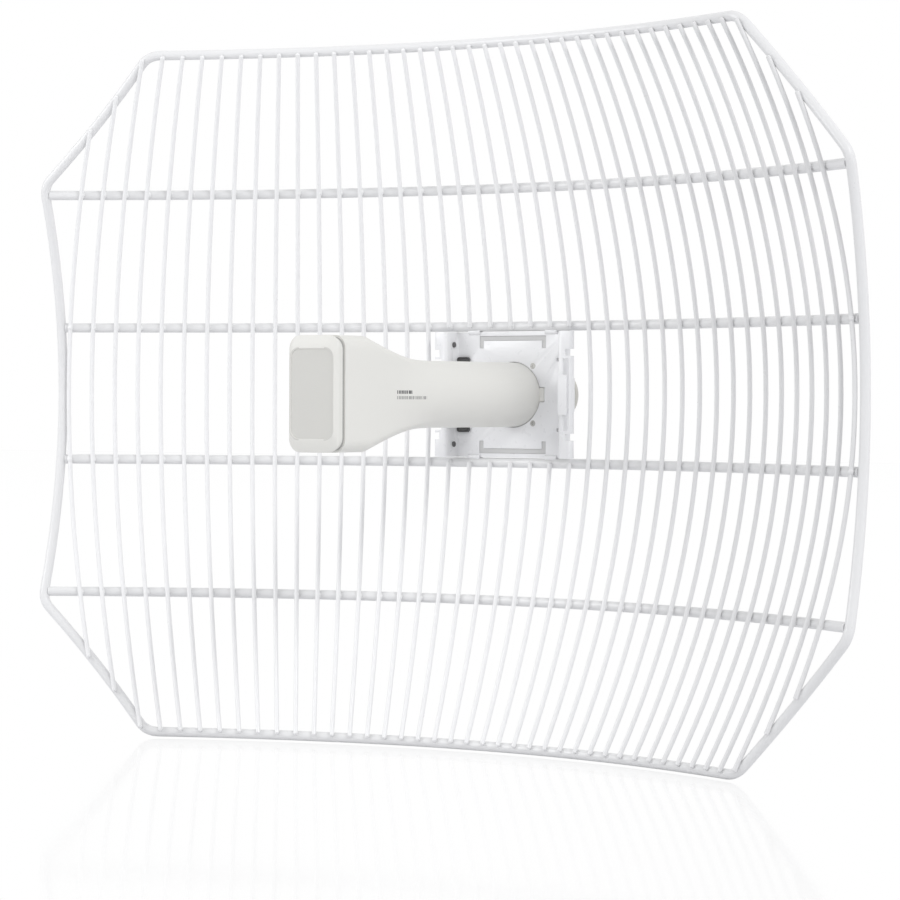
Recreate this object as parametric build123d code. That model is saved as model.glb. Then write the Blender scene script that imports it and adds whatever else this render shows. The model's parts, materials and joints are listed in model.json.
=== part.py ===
from build123d import *
import os
from math import atan2, cos, hypot, radians, sin, sqrt, tan

# Parabolic grid antenna with a plug-in feed that holds the radio.
#
# Frame: millimetres. +X is the antenna's right, +Z is up, and the reflector
# looks along -Y. The origin is on the boresight, in the rear face of the
# mounting plate.

# ---------------------------------------------------------------- reflector
reflector_width = 620.0         # over the rim rod
reflector_height = 460.0        # over the rim rod
rod_diameter = 6.4              # rim and rib rod
focal_length = 240.0
vertex_y = 2.5                  # rod centre line at the boresight
corner_cut_x = 81.0             # clipped corner, along X
corner_cut_z = 86.0             # clipped corner, along Z
corner_bend_radius = 18.0
rib_spacing = 90.0
rib_sink = 0.9                  # how far a rib's end is welded into the rim
long_side_arcs = 6              # arcs that follow the paraboloid along a long rim side
short_side_arcs = 2
rib_arcs = 8
bend_handle = 0.36              # handle of a corner bend, as a share of its chord

wire_diameter = 3.0
wire_pitch = 15.9
wires_each_side = 20            # plus one wire on the centre line
wires_cut_each_side = 3         # these stop at the plate, as the centre one does
wire_pitch_loss = 1.367e-4      # outer wires crowd together by this share of index squared
wire_bow = 4.4e-6               # how much a wire leans inwards with height squared
wire_bow_reach = 500.0          # distance from the centre over which the bow eases
wire_tip = 0.7                  # length and depth of the chamfer at a wire's end
weld_sink = 0.25                # how far a welded wire sinks into the rod
wire_trim = 1.7                 # a wire stops this far below the rim's centre line
wire_trim_corner = 3.2          # the same on a clipped corner

# ------------------------------------------------------------ mounting plate
sheet = 1.5
tray_half_width = 43.3          # inside face of a side wall
tray_depth = 13.5               # plate front face to wing front face
wing_width = 10.3
lip_depth = 4.0
plate_end_gap = 0.4             # plate edge to rib rod
locating_half = 26.0
locating_z = 37.2
locating_width = 3.2
locating_leg = 6.6
clamp_slot_x = 38.2
clamp_slot_z = 23.0
clamp_slot_length = 8.6
clamp_slot_width = 2.8
window_half_height = 23.5
window_inset = 2.7              # wall to window
notch_z = 27.5
notch_size = 4.5
wall_hole_z = 33.0
wall_hole_diameter = 2.4
weld_bead_x = 30.0
weld_bead_length = 9.0
weld_bead_diameter = 4.4

# -------------------------------------------------------------- feed housing
tube_radius = 21.3
rear_radius = 19.5
wall = 2.2
shoulder_y = 10.0               # where the tube steps down to the rear radius
tube_rear_y = 46.0
box_width = 37.0
box_height = 71.2
box_corner = 8.0
face_y = -225.0                 # foremost face of the cover
cover_bevel = 2.5
cover_edge = 1.7                # full-size edge strip of the cover
groove_width = 5.3              # shadow groove between cover and housing
groove_depth = 1.2
panel_width = 33.0
panel_height = 56.6
panel_inset = 0.4
panel_border = 0.9
cover_wall = 1.8
spigot_length = 6.0
fit_gap = 0.05                  # light fit between pieces of one body
gasket_thickness = 1.2
key_width = 9.0
key_height = 3.2                # beyond the tube
rail_grip = 1.5                 # how far a rail holds the board's edge
rail_thickness = 2.0
rail_y = (-95.0, 5.0)
lock_groove_y = 4.0
lock_groove_depth = 1.0
lock_groove_play = 0.2

# ------------------------------------------------------------------- socket
running_gap = 0.35              # feed to socket, plate and cap
socket_length = 26.0
socket_radius = tube_radius + 6.7
pad_half_width = 42.0           # base pad behind the sheet
pad_edge = 2.4                  # pad to the sheet's upper and lower edges
pad_corner = 4.0
pad_thickness = 3.0
pad_slot_play = 0.3             # pad openings behind the clamp slots
rib_play = 0.15                 # locating ribs in the U-shaped slots
rib_recess = 0.4                # ribs end this far below the sheet's front face
socket_screw_circle = tube_radius + 3.3
socket_screw_angle = 50.0
socket_screw_diameter = 2.4
socket_screw_head = 4.0
socket_screw_length = 9.0

# ------------------------------------------------------- lock and release
clip_wire = 2.0
clip_play = 0.25
clip_leg_end = tube_radius + 9.7
clip_tip_length = 4.0
clip_tip_turn = 2.0             # the tips lean in, so that the wedges can spread them
tab_sheet = 1.2
tab_half_height = 13.0
tab_width = 6.6
tab_gap = 0.35
tab_travel = 3.0
tab_overhang = 2.2              # finger tab beyond the leg
leg_half_height = 11.0
blade_inner_x = tube_radius + 3.9
blade_bar = 6.8
blade_half_height = tube_radius - 2.8
wedge_size = 2.4
tooth_x = socket_radius + 9.8    # tooth that the return spring pulls on
tooth_half = 3.0
spring_radius = 2.0
spring_wire = 0.6
spring_turns = 7
spring_y = 6.6

# ----------------------------------------------------------- feed internals
board_thickness = 1.6
board_half_height = 14.5
board_front_y = -192.0
bulkhead_y = 30.0
bulkhead_thickness = 2.0
jack_width = 13.4               # along X, off the board
jack_height = 16.0              # along Z
jack_length = 21.0
jack_mouth_height = 11.8
jack_mouth_width = 8.4
jack_mouth_depth = 14.0
contact_pitch = 1.02
dipole_y = -204.0
dipole_half_length = 28.0
dipole_width = 4.0
dipole_thickness = 0.8
sub_reflector_y = -218.5
sub_reflector_size = (26.0, 56.0, 0.8)
can_height = 5.0
can_wall = 0.4
can_half = 12.0
contact_length = 9.0
contact_size = 0.4
button_diameter = 3.0
button_x, button_z = -8.0, -8.0
switch_gap = 3.0                # switch to bulkhead
button_travel = 0.6
light_pipe_diameter = 2.0
light_pipe_reach = 8.0          # from the bulkhead towards the board's lights
light_pipe_proud = 0.4
led_length = 2.0

# ----------------------------------------------------------------- rear cap
dome_depth = 14.5
cap_wall = 2.0
cap_spigot = 10.0
seal_width = 2.0
seal_groove_depth = 0.8
grommet_z = -8.0
grommet_radius = 4.0
grommet_flange = 1.3

pipe_places = [(button_x, z) for z in (-2.0, 1.5, 5.0, 8.5)]

os.makedirs("parts", exist_ok=True)

half_width = (reflector_width - rod_diameter) / 2
half_height = (reflector_height - rod_diameter) / 2
rod_radius = rod_diameter / 2
wire_radius = wire_diameter / 2
plate_front = -sheet
wing_front = plate_front - tray_depth
wing_back = wing_front + sheet
wall_outer = tray_half_width + sheet
wing_edge = tray_half_width + wing_width
plate_half_height = rib_spacing / 2 - rod_radius - plate_end_gap
pad_half_height = plate_half_height - pad_edge


def save(shape, name):
    """Write one node, given a label, to its own STEP file."""
    solids = shape.solids() if hasattr(shape, "solids") else [s for p in shape for s in p.solids()]
    result = solids[0] if len(solids) == 1 else Compound(children=solids)
    result.label = name
    export_step(result, f"parts/{name}.step")


def block(x0, x1, y0, y1, z0, z1):
    """A box given by its lowest and highest coordinates."""
    centre = Pos((x0 + x1) / 2, (y0 + y1) / 2, (z0 + z1) / 2)
    return centre * Box(x1 - x0, y1 - y0, z1 - z0)


def rod_y(radius, y0, y1, x=0.0, z=0.0):
    """A cylinder along Y."""
    return Pos(x, (y0 + y1) / 2, z) * Rot(90, 0, 0) * Cylinder(radius, y1 - y0)


def rounded_face(width, height, corner, y):
    """A rounded rectangle in the XZ plane at y."""
    return Pos(0, y, 0) * Rot(90, 0, 0) * RectangleRounded(width, height, corner)


def rounded_block(width, height, corner, y0, y1):
    """A rounded rectangle swept along Y."""
    return extrude(rounded_face(width, height, corner, y0), amount=y1 - y0, dir=(0, 1, 0))


def mirrored_x(shape):
    return mirror(shape, about=Plane.YZ)


# ============================================================ reflector grid
def rod_point(x, z):
    """A point of the rod centre lines, on the paraboloid."""
    return Vector(x, vertex_y - (x * x + z * z) / (4 * focal_length), z)


def wire_point(x, z):
    """A point of the wire centre lines, in front of the rods."""
    slope = hypot(x, z) / (2 * focal_length)
    lift = (rod_radius + wire_radius - weld_sink) * sqrt(1 + slope * slope)
    return rod_point(x, z) - Vector(0, lift, 0)


def tangent_arcs(points, direction):
    """Arcs that run smoothly through the points, and start along direction."""
    edges = []
    for start, end in zip(points, points[1:]):
        edge = Edge.make_tangent_arc(start, direction, end)
        direction = edge % 1
        edges.append(edge)
    return Wire(edges)


def round_bar(path, radius):
    """A round bar along a path."""
    section = Plane(origin=path @ 0, z_dir=path % 0) * Circle(radius)
    return sweep(section, path=path)


def surface_run(x0, z0, x1, z1, arcs):
    """The rod centre line over a straight line in the front view."""
    step = Vector(x1 - x0, 0, z1 - z0)
    rise = -(x0 * step.X + z0 * step.Z) / (2 * focal_length)
    steps = [i / arcs for i in range(arcs + 1)]
    points = [rod_point(x0 + step.X * t, z0 + step.Z * t) for t in steps]
    return tangent_arcs(points, step + Vector(0, rise, 0))


def corner_bend(first, second):
    """A smooth bend from the end of one run to the start of the next."""
    start, end = first @ 1, second @ 0
    handle = (end - start).length * bend_handle
    inner = start + (first % 1) * handle
    outer = end - (second % 0) * handle
    return Bezier(start, inner, outer, end)


def rim_runs():
    """The eight straight sides of the rim, in order round the loop."""
    top_x = half_width - corner_cut_x
    side_z = half_height - corner_cut_z
    cut = hypot(corner_cut_x, corner_cut_z)
    ux, uz = corner_cut_x / cut, corner_cut_z / cut
    trim_top = corner_bend_radius * tan(atan2(uz, ux) / 2)
    trim_side = corner_bend_radius * tan(atan2(ux, uz) / 2)
    a = (top_x - trim_top, half_height)
    b = (top_x + trim_top * ux, half_height - trim_top * uz)
    c = (half_width - trim_side * ux, side_z + trim_side * uz)
    d = (half_width, side_z - trim_side)
    sides = [
        ((-a[0], a[1]), a), (b, c), (d, (d[0], -d[1])), ((c[0], -c[1]), (b[0], -b[1])),
        ((a[0], -a[1]), (-a[0], -a[1])), ((-b[0], -b[1]), (-c[0], -c[1])),
        ((-d[0], -d[1]), (-d[0], d[1])), ((-c[0], c[1]), (-b[0], b[1])),
    ]
    arcs = [long_side_arcs, short_side_arcs] * 4
    return [surface_run(*start, *end, count) for (start, end), count in zip(sides, arcs)]


def make_rim():
    runs = rim_runs()
    bends = [corner_bend(runs[i], runs[(i + 1) % len(runs)]) for i in range(len(runs))]
    bars = [round_bar(path, rod_radius) for path in runs + [Wire([bend]) for bend in bends]]
    return bars[0].fuse(*bars[1:])


def make_rib(z):
    """A rib butts against the inside of the rim at both ends, and is welded into it."""
    reach = half_width - rod_radius + rib_sink
    return round_bar(surface_run(-reach, z, reach, z, rib_arcs), rod_radius)


def wire_x(index):
    """Where a wire crosses the horizontal centre line."""
    return wire_pitch * index * (1 - wire_pitch_loss * index * index)


def bowed_x(x, z):
    """A wire leans towards the centre as it nears the top and bottom."""
    return x * (1 - wire_bow / (1 + (x / wire_bow_reach) ** 2) * z * z)


def rim_height_at(x):
    """Half height of the rim at x, in the front view."""
    past_corner = max(0.0, abs(x) - (half_width - corner_cut_x))
    return half_height - past_corner * corner_cut_z / corner_cut_x


def wire_top(index):
    """Where a wire ends on the rim, found by closing in on it."""
    z = half_height
    for _ in range(20):
        z = rim_height_at(bowed_x(wire_x(index), z))
    return z


def make_wire(index, z0, z1):
    """One wire between two heights, bent as a flat parabola."""
    x = wire_x(index)
    reach = max(abs(z0), abs(z1))
    middle, end = wire_point(x, 0), wire_point(bowed_x(x, reach), reach)
    bow = Vector(end.X - middle.X, end.Y - middle.Y, 0)
    arcs = 6 if z0 * z1 < 0 else 3
    heights = [z0 + (z1 - z0) * i / arcs for i in range(arcs + 1)]
    points = [middle + bow * (z / reach) ** 2 + Vector(0, 0, z) for z in heights]
    direction = bow * (2 * z0 / reach ** 2) + Vector(0, 0, 1)
    path = tangent_arcs(points, direction)
    bar = round_bar(path, wire_radius)
    cone = Cone(wire_radius, wire_radius - wire_tip, wire_tip, align=(Align.CENTER, Align.CENTER, Align.MIN))
    bar += Plane(origin=path @ 1, z_dir=path % 1) * cone
    bar += Plane(origin=path @ 0, z_dir=(path % 0) * -1) * cone
    return bar


def make_wires(indices, z0=None, z1=None):
    """Wires that run from rim to rim, or start or stop at the given height."""
    result = []
    for index in indices:
        top = wire_top(index)
        on_corner = abs(bowed_x(wire_x(index), top)) > half_width - corner_cut_x
        top -= wire_trim_corner if on_corner else wire_trim
        result.append(make_wire(index, -top if z0 is None else z0, top if z1 is None else z1))
    return result


# ============================================================ mounting plate
def wing_side():
    """Right-hand wall, wing and lip of the tray."""
    path = Polyline(
        (0, plate_front / 2), (tray_half_width + sheet / 2, plate_front / 2),
        (tray_half_width + sheet / 2, wing_front + sheet / 2),
        (wing_edge - sheet / 2, wing_front + sheet / 2),
        (wing_edge - sheet / 2, wing_front + lip_depth),
    )
    return extrude(trace(path, line_width=sheet), amount=plate_half_height, both=True)


def locating_u(sign, shrink, y0, y1):
    """A U-shaped bar, open towards the boresight, above or below it."""
    z, half = sign * locating_z, locating_width / 2
    bar = half - shrink
    shape = block(-locating_half + shrink, locating_half - shrink, y0, y1, z - bar, z + bar)
    inner, outer = sorted((z, z - sign * (locating_leg - shrink)))
    for x in (-locating_half + half, locating_half - half):
        shape += block(x - bar, x + bar, y0, y1, inner, outer)
    return shape


def clamp_slot(side_sign, sign, play, depth):
    """A round-ended slot beside a fold, from the sheet's front towards the back."""
    end = clamp_slot_width / 2 + play
    straight = (clamp_slot_length - clamp_slot_width) / 2
    x, z = side_sign * clamp_slot_x, sign * clamp_slot_z
    shape = block(x - straight, x + straight, -3, depth, z - end, z + end)
    for end_x in (x - straight, x + straight):
        shape += rod_y(end, -3, depth, end_x, z)
    return shape


def make_plate():
    side = wing_side()
    plate = side + mirrored_x(side)
    plate -= rod_y(tube_radius + running_gap, -3, 3)
    key_top = tube_radius + key_height + running_gap
    plate -= block(0, key_top, -3, 3, -key_width / 2 - running_gap, key_width / 2 + running_gap)
    for sign in (1, -1):
        plate -= locating_u(sign, 0, -3, 3)
        for side_sign in (1, -1):
            plate -= clamp_slot(side_sign, sign, 0, 6)
            notch = sign * notch_z
            low_x, high_x = sorted((side_sign * (wing_edge - notch_size), side_sign * (wing_edge + 1)))
            plate -= block(low_x, high_x, wing_front - 1, wing_front + lip_depth + 1,
                           notch - notch_size / 2, notch + notch_size / 2)
            drill = Rot(0, 90, 0) * Cylinder(wall_hole_diameter / 2, 3 * sheet)
            plate -= Pos(side_sign * wall_outer, wing_back + tray_depth / 2, sign * wall_hole_z) * drill
    window_in, window_out = wall_outer + window_inset, wing_edge - sheet
    window = (-window_half_height, window_half_height)
    plate -= block(window_in, window_out, wing_front - 1, wing_back + 1, *window)
    plate -= block(-wing_edge - 1, -window_in, wing_front - 1, wing_front + lip_depth + 1, *window)
    for x, z in socket_screw_places():
        plate -= rod_y(socket_screw_diameter / 2 + fit_gap, -3, 3, x, z)
        plate -= screw_head(x, z)
    return plate


def make_plate_welds(plate, ribs):
    """Beads that join the plate's upper and lower edges to the inner ribs."""
    beads = []
    for x in (-weld_bead_x, weld_bead_x):
        for z in (-plate_half_height, plate_half_height):
            y = rod_point(x, z).Y
            bead = Rot(0, 90, 0) * Cylinder(weld_bead_diameter / 2, weld_bead_length)
            bead = Pos(x, (y + plate_front / 2) / 2, z) * bead
            beads.append(bead - plate - ribs[1] - ribs[2])
    return beads


# =================================================================== socket
def socket_screw_places():
    x = socket_screw_circle * cos(radians(socket_screw_angle))
    z = socket_screw_circle * sin(radians(socket_screw_angle))
    return [(sx * x, sz * z) for sx in (1, -1) for sz in (1, -1)]


def screw_head(x, z):
    """Countersunk head, flush with the front of the plate."""
    head, shank = socket_screw_head / 2, socket_screw_diameter / 2
    depth = head - shank
    cone = Cone(shank, head, depth, align=(Align.CENTER, Align.CENTER, Align.MIN))
    return Pos(x, plate_front + depth, z) * Rot(90, 0, 0) * cone


def make_socket_screws():
    screws = []
    for x, z in socket_screw_places():
        screw = screw_head(x, z)
        screw += rod_y(socket_screw_diameter / 2, plate_front + 0.5, plate_front + socket_screw_length, x, z)
        screw -= Pos(x, plate_front, z) * Box(2.2, 1.0, 0.5)
        screw -= Pos(x, plate_front, z) * Box(0.5, 1.0, 2.2)
        screws.append(screw)
    return screws


def make_socket():
    """Base pad and barrel, with a channel for the release blade and slots for the clip."""
    socket = rounded_block(2 * pad_half_width, 2 * pad_half_height, pad_corner, 0, pad_thickness)
    socket += rod_y(socket_radius, 0, socket_length)
    for sign in (1, -1):
        socket += locating_u(sign, rib_play, plate_front + rib_recess, 1)
        for side_sign in (1, -1):
            socket -= clamp_slot(side_sign, sign, pad_slot_play, pad_thickness + 1)
    socket -= rod_y(tube_radius + running_gap, -1, shoulder_y + running_gap)
    socket -= rod_y(rear_radius + running_gap, -1, socket_length + 1)
    key_top = tube_radius + key_height + running_gap
    socket -= block(0, key_top, -1, shoulder_y + running_gap,
                    -key_width / 2 - running_gap, key_width / 2 + running_gap)
    for x, z in socket_screw_places():
        socket -= rod_y(socket_screw_diameter / 2, -1, plate_front + socket_screw_length, x, z)
    clip_half = clip_wire / 2 + clip_play
    clip_back, clip_front = lock_groove_y + clip_half, lock_groove_y - clip_half
    socket -= rod_y(clip_radius() + clip_half, clip_front, clip_back)
    for sign in (1, -1):
        z0, z1 = sorted((sign * (clip_radius() - clip_half - 0.2), sign * (clip_radius() + clip_half)))
        socket -= block(0, blade_inner_x, clip_front, clip_back, z0, z1)
    pocket_x = blade_inner_x - tab_gap
    pocket_half = blade_half_height + 4.5
    bar_end = blade_inner_x + blade_bar + tab_travel + tab_gap
    blade_back = tab_gap + tab_sheet + tab_gap
    socket -= block(pocket_x, clip_leg_end + 1, -3, clip_back, -pocket_half, pocket_half)
    bar_room = blade_half_height + tab_gap
    socket -= block(pocket_x, bar_end, -3, blade_back, -bar_room, bar_room)
    channel_half = leg_half_height + tab_gap
    socket -= block(pocket_x, pad_half_width + 1, -3, blade_back, -channel_half, channel_half)
    tooth_room = tooth_half + tab_gap
    socket -= block(tooth_x - tab_gap, pad_half_width + 1, -3, pad_thickness + 1, -tooth_room, tooth_room)
    return socket


def clip_radius():
    """Centre line of the clip's wire, which rests on the floor of the lock groove."""
    return tube_radius - lock_groove_depth + clip_wire / 2 + fit_gap


def make_lock_clip():
    """Spring wire hairpin that sits in the feed's lock groove."""
    radius = clip_radius()
    bend = CenterArc((0, 0, 0), radius, 90, 180)
    turn_x = clip_leg_end - clip_tip_length
    legs = [Line((0, s * radius, 0), (turn_x, s * radius, 0)) for s in (1, -1)]
    tips = [Line((turn_x, s * radius, 0), (clip_leg_end, s * (radius - clip_tip_turn), 0)) for s in (1, -1)]
    path = Wire([tips[0], legs[0], bend, legs[1], tips[1]])
    path = Pos(0, lock_groove_y, 0) * Rot(90, 0, 0) * path
    section = Plane(origin=path @ 0, z_dir=path % 0) * Circle(clip_wire / 2)
    return sweep(section, path=path, transition=Transition.ROUND)


def make_release_tab():
    """Bent steel slide: finger tab, stepped leg beside the wall, and a blade with two wedges."""
    front = wing_front - tab_gap - tab_sheet
    step_y = wing_back + tab_gap
    leg_x = wall_outer + window_inset + tab_gap
    wall_x = wall_outer + tab_gap
    back = tab_gap + tab_sheet
    finger_x = leg_x + tab_sheet + tab_overhang
    tab = block(finger_x - tab_width, finger_x, front, front + tab_sheet, -tab_half_height, tab_half_height)
    height = (-leg_half_height, leg_half_height)
    tab += block(leg_x, leg_x + tab_sheet, front, step_y + tab_sheet, *height)
    tab += block(wall_x, leg_x + tab_sheet, step_y, step_y + tab_sheet, *height)
    tab += block(wall_x, wall_x + tab_sheet, step_y, back, *height)
    tab += block(blade_inner_x, wall_x + tab_sheet, tab_gap, back, *height)
    tab += block(blade_inner_x, blade_inner_x + blade_bar, tab_gap, back,
                 -blade_half_height, blade_half_height)
    for sign in (1, -1):
        z0, z1 = sorted((sign * blade_half_height, sign * (blade_half_height - wedge_size)))
        wedge_back = lock_groove_y + clip_wire / 2 - tab_gap
        tab += block(blade_inner_x, blade_inner_x + wedge_size, back, wedge_back, z0, z1)
    tooth_back = spring_y + spring_radius
    tab += block(tooth_x, tooth_x + tab_sheet, back, tooth_back, -tooth_half, tooth_half)
    return tab


def make_release_spring():
    """Return spring, stretched between the socket's barrel and the tab's tooth."""
    length = tooth_x - socket_radius - 2 * spring_wire
    helix = Helix(pitch=length / spring_turns, height=length, radius=spring_radius - spring_wire / 2)
    section = Plane(origin=helix @ 0, z_dir=helix % 0) * Circle(spring_wire / 2)
    coil = sweep(section, path=Wire([helix]))
    return Pos(socket_radius + spring_wire, spring_y, 0) * Rot(0, 90, 0) * coil


# ============================================================= feed housing
def flare_sections():
    """Width, height, corner and place of the sections from box to tube."""
    round_size = 2 * tube_radius
    return [
        (box_width, box_height, box_corner, -188.0),
        (box_width, 64.0, 9.0, -176.0),
        (box_width + 0.4, 55.0, 11.5, -159.0),
        (box_width + 1.8, 48.0, 15.0, -140.0),
        (round_size - 1.2, 43.8, 19.0, -118.0),
        (round_size, round_size, tube_radius - 0.1, -100.0),
    ]


def flare(shrink):
    faces = [rounded_face(w - 2 * shrink, h - 2 * shrink, c - shrink, y) for w, h, c, y in flare_sections()]
    return loft(Sketch() + faces)


mouth_y = face_y + cover_bevel + cover_edge + groove_width


def shrunk_block(shrink, y0, y1):
    """The box section, made smaller all round, swept along Y."""
    return rounded_block(box_width - 2 * shrink, box_height - 2 * shrink, box_corner - shrink, y0, y1)


def make_housing():
    flare_start, flare_end = flare_sections()[0][3], flare_sections()[-1][3]
    outer = rounded_block(box_width, box_height, box_corner, mouth_y, flare_start)
    outer += flare(0)
    width, height, corner, _ = flare_sections()[-1]
    outer += rounded_block(width, height, corner, flare_end, shoulder_y)
    outer += rod_y(rear_radius, shoulder_y, tube_rear_y)
    inner = shrunk_block(wall, mouth_y - 1, flare_start)
    inner += flare(wall)
    inner += rounded_block(width - 2 * wall, height - 2 * wall, corner - wall, flare_end, shoulder_y - wall)
    inner += rod_y(rear_radius - wall, shoulder_y - wall - 1, tube_rear_y + 1)
    body = outer - inner
    groove_half = clip_wire / 2 + lock_groove_play
    groove = rod_y(tube_radius + 1, lock_groove_y - groove_half, lock_groove_y + groove_half)
    body -= groove - rod_y(tube_radius - lock_groove_depth, lock_groove_y - 3, lock_groove_y + 3)
    body += block(tube_radius - wall / 2, tube_radius + key_height, plate_front, shoulder_y,
                  -key_width / 2, key_width / 2)
    rails = []
    for sx in (1, -1):
        for sz in (1, -1):
            half = board_thickness / 2
            x0, x1 = sorted((sx * (half + fit_gap), sx * (half + rail_thickness)))
            z0, z1 = sorted((sz * (board_half_height - rail_grip), sz * (tube_radius - 0.8)))
            rail = block(x0, x1, *rail_y, z0, z1)
            rails.append(rail & rod_y(tube_radius - wall + 0.5, *rail_y))
    return body + rails


def make_front_cover():
    edge_start = face_y + cover_bevel
    edge_end = edge_start + cover_edge
    back_outline = rounded_face(box_width, box_height, box_corner, edge_start)
    front_outline = rounded_face(panel_width, panel_height, 3.0, face_y)
    cover = loft(Sketch() + [front_outline, back_outline], ruled=True)
    cover += shrunk_block(0, edge_start, edge_end)
    cover += shrunk_block(groove_depth, edge_end, mouth_y - gasket_thickness)
    spigot = wall + fit_gap
    cover += shrunk_block(spigot, mouth_y - gasket_thickness, mouth_y + spigot_length)
    cover -= shrunk_block(spigot + cover_wall, edge_start, mouth_y + spigot_length + 1)
    cover -= rounded_block(panel_width - 2 * panel_border, panel_height - 2 * panel_border, 2.4,
                           face_y - 1, face_y + panel_inset)
    return cover


def make_cover_gasket():
    gasket = shrunk_block(groove_depth, mouth_y - gasket_thickness, mouth_y)
    return gasket - shrunk_block(wall + fit_gap, mouth_y - gasket_thickness - 1, mouth_y + 1)


# =========================================================== feed internals
def make_radio_board():
    half = board_thickness / 2
    return block(-half, half, board_front_y, bulkhead_y, -board_half_height, board_half_height)


def make_dipole():
    arms = []
    for sign in (1, -1):
        z0, z1 = sorted((sign * 1.5, sign * dipole_half_length))
        arm = block(-dipole_width / 2, dipole_width / 2, dipole_y, dipole_y + dipole_thickness, z0, z1)
        z0, z1 = sorted((sign * 1.5, sign * 3.5))
        arm += block(board_thickness / 2, board_thickness / 2 + 0.5, dipole_y, board_front_y + 6, z0, z1)
        arms.append(arm)
    return arms


def make_dipole_support():
    """Insulator that clips on the board and carries the dipole and the sub-reflector."""
    back = dipole_y + dipole_thickness
    support = block(-6, 6, back, back + 2.0, -dipole_half_length, dipole_half_length)
    support += block(-6, 6, back, board_front_y + 5, -9, 9)
    support -= block(-board_thickness / 2, board_thickness / 2, board_front_y, board_front_y + 6, -10, 10)
    strip = board_thickness / 2
    support -= block(strip, strip + 0.5, dipole_y - 1, board_front_y + 6, -3.5, 3.5)
    for z in (-18.0, 18.0):
        support += rod_y(2.5, sub_reflector_y + sub_reflector_size[2], back, dipole_width / 2 + 2.5, z)
        support += rod_y(2.5, sub_reflector_y + sub_reflector_size[2], back, -dipole_width / 2 - 2.5, z)
    return support


def make_sub_reflector():
    width, height, thickness = sub_reflector_size
    y1 = sub_reflector_y + thickness
    return block(-width / 2, width / 2, sub_reflector_y, y1, -height / 2, height / 2)


def make_shield_cans():
    cans = []
    for y0, y1 in ((-150.0, -112.0), (-88.0, -36.0)):
        x = board_thickness / 2
        can = block(x, x + can_height, y0, y1, -can_half, can_half)
        inside = can_half - can_wall
        can -= block(x - 1, x + can_height - can_wall, y0 + can_wall, y1 - can_wall, -inside, inside)
        cans.append(can)
    return cans


def jack_mouth(y0, y1):
    """The hole that a network plug goes into."""
    middle = board_thickness / 2 + jack_width / 2
    half = jack_mouth_width / 2
    return block(middle - half, middle + half, y0, y1, -jack_mouth_height / 2, jack_mouth_height / 2)


def make_jack():
    x = board_thickness / 2
    back = bulkhead_y - jack_length
    jack = block(x, x + jack_width, back, bulkhead_y, -jack_height / 2, jack_height / 2)
    return jack - jack_mouth(bulkhead_y - jack_mouth_depth, bulkhead_y + 1)


def make_contacts():
    contacts = []
    low = board_thickness / 2 + (jack_width - jack_mouth_width) / 2
    y0 = bulkhead_y - jack_mouth_depth
    half = contact_size / 2
    for i in range(8):
        z = (i - 3.5) * contact_pitch
        contacts.append(block(low, low + 4 * contact_size, y0, y0 + contact_length, z - half, z + half))
    return contacts


def make_bulkhead():
    plate = rod_y(rear_radius - wall - fit_gap, bulkhead_y, bulkhead_y + bulkhead_thickness)
    plate -= jack_mouth(bulkhead_y - 1, bulkhead_y + 4)
    plate -= rod_y(button_diameter / 2 + fit_gap, bulkhead_y - 1, bulkhead_y + 4, button_x, button_z)
    for x, z in pipe_places:
        plate -= rod_y(light_pipe_diameter / 2, bulkhead_y - 1, bulkhead_y + 4, x, z)
    return plate


def make_light_pipes():
    y1 = bulkhead_y + bulkhead_thickness + light_pipe_proud
    return [rod_y(light_pipe_diameter / 2, bulkhead_y - light_pipe_reach, y1, x, z) for x, z in pipe_places]


def make_leds():
    leds = []
    for x, z in pipe_places:
        y1 = bulkhead_y - light_pipe_reach
        leds.append(block(x - 1.0, -board_thickness / 2, y1 - led_length, y1, z - 0.8, z + 0.8))
    return leds


def make_reset_switch():
    """Tactile switch behind the button, on its own foot."""
    y1 = bulkhead_y - switch_gap
    return block(button_x - 3, -board_thickness / 2, y1 - 4, y1, button_z - 3, button_z + 3)


def make_reset_button():
    y0 = bulkhead_y - switch_gap + button_travel + 0.3
    button = rod_y(button_diameter / 2, y0, bulkhead_y + bulkhead_thickness + 1.2, button_x, button_z)
    return button + rod_y(button_diameter / 2 + 0.7, y0, y0 + 0.8, button_x, button_z)


# ================================================================= rear cap
def make_port_cap():
    """Domed cap with a hollow spigot, turned from one profile."""
    outer = rear_radius - wall - running_gap
    inner = outer - cap_wall
    base = tube_rear_y + running_gap
    groove = outer - seal_groove_depth
    low, high = seal_y() - seal_width / 2, seal_y() + seal_width / 2
    edge = Polyline(
        (inner, base), (inner, tube_rear_y - cap_spigot), (outer, tube_rear_y - cap_spigot), (outer, low),
        (groove, low), (groove, high), (outer, high), (outer, base), (rear_radius, base),
    )
    dome = EllipticalCenterArc((0, base), rear_radius, dome_depth, 0, arc_size=90)
    hollow = EllipticalCenterArc((0, base), inner, dome_depth - cap_wall, 0, arc_size=90)
    axis_line = Line(dome @ 1, hollow @ 1)
    cap = revolve(make_face(Curve() + [edge, dome, axis_line, hollow]), axis=Axis.Y)
    return cap - rod_y(grommet_radius, tube_rear_y + 2, tube_rear_y + 30, 0, grommet_z)


def seal_y():
    return tube_rear_y - cap_spigot / 2


def make_port_seal():
    outer = rear_radius - wall - fit_gap
    inner = rear_radius - wall - running_gap - seal_groove_depth
    return rod_y(outer, seal_y() - seal_width / 2, seal_y() + seal_width / 2) \
        - rod_y(inner, seal_y() - seal_width, seal_y() + seal_width)


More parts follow.
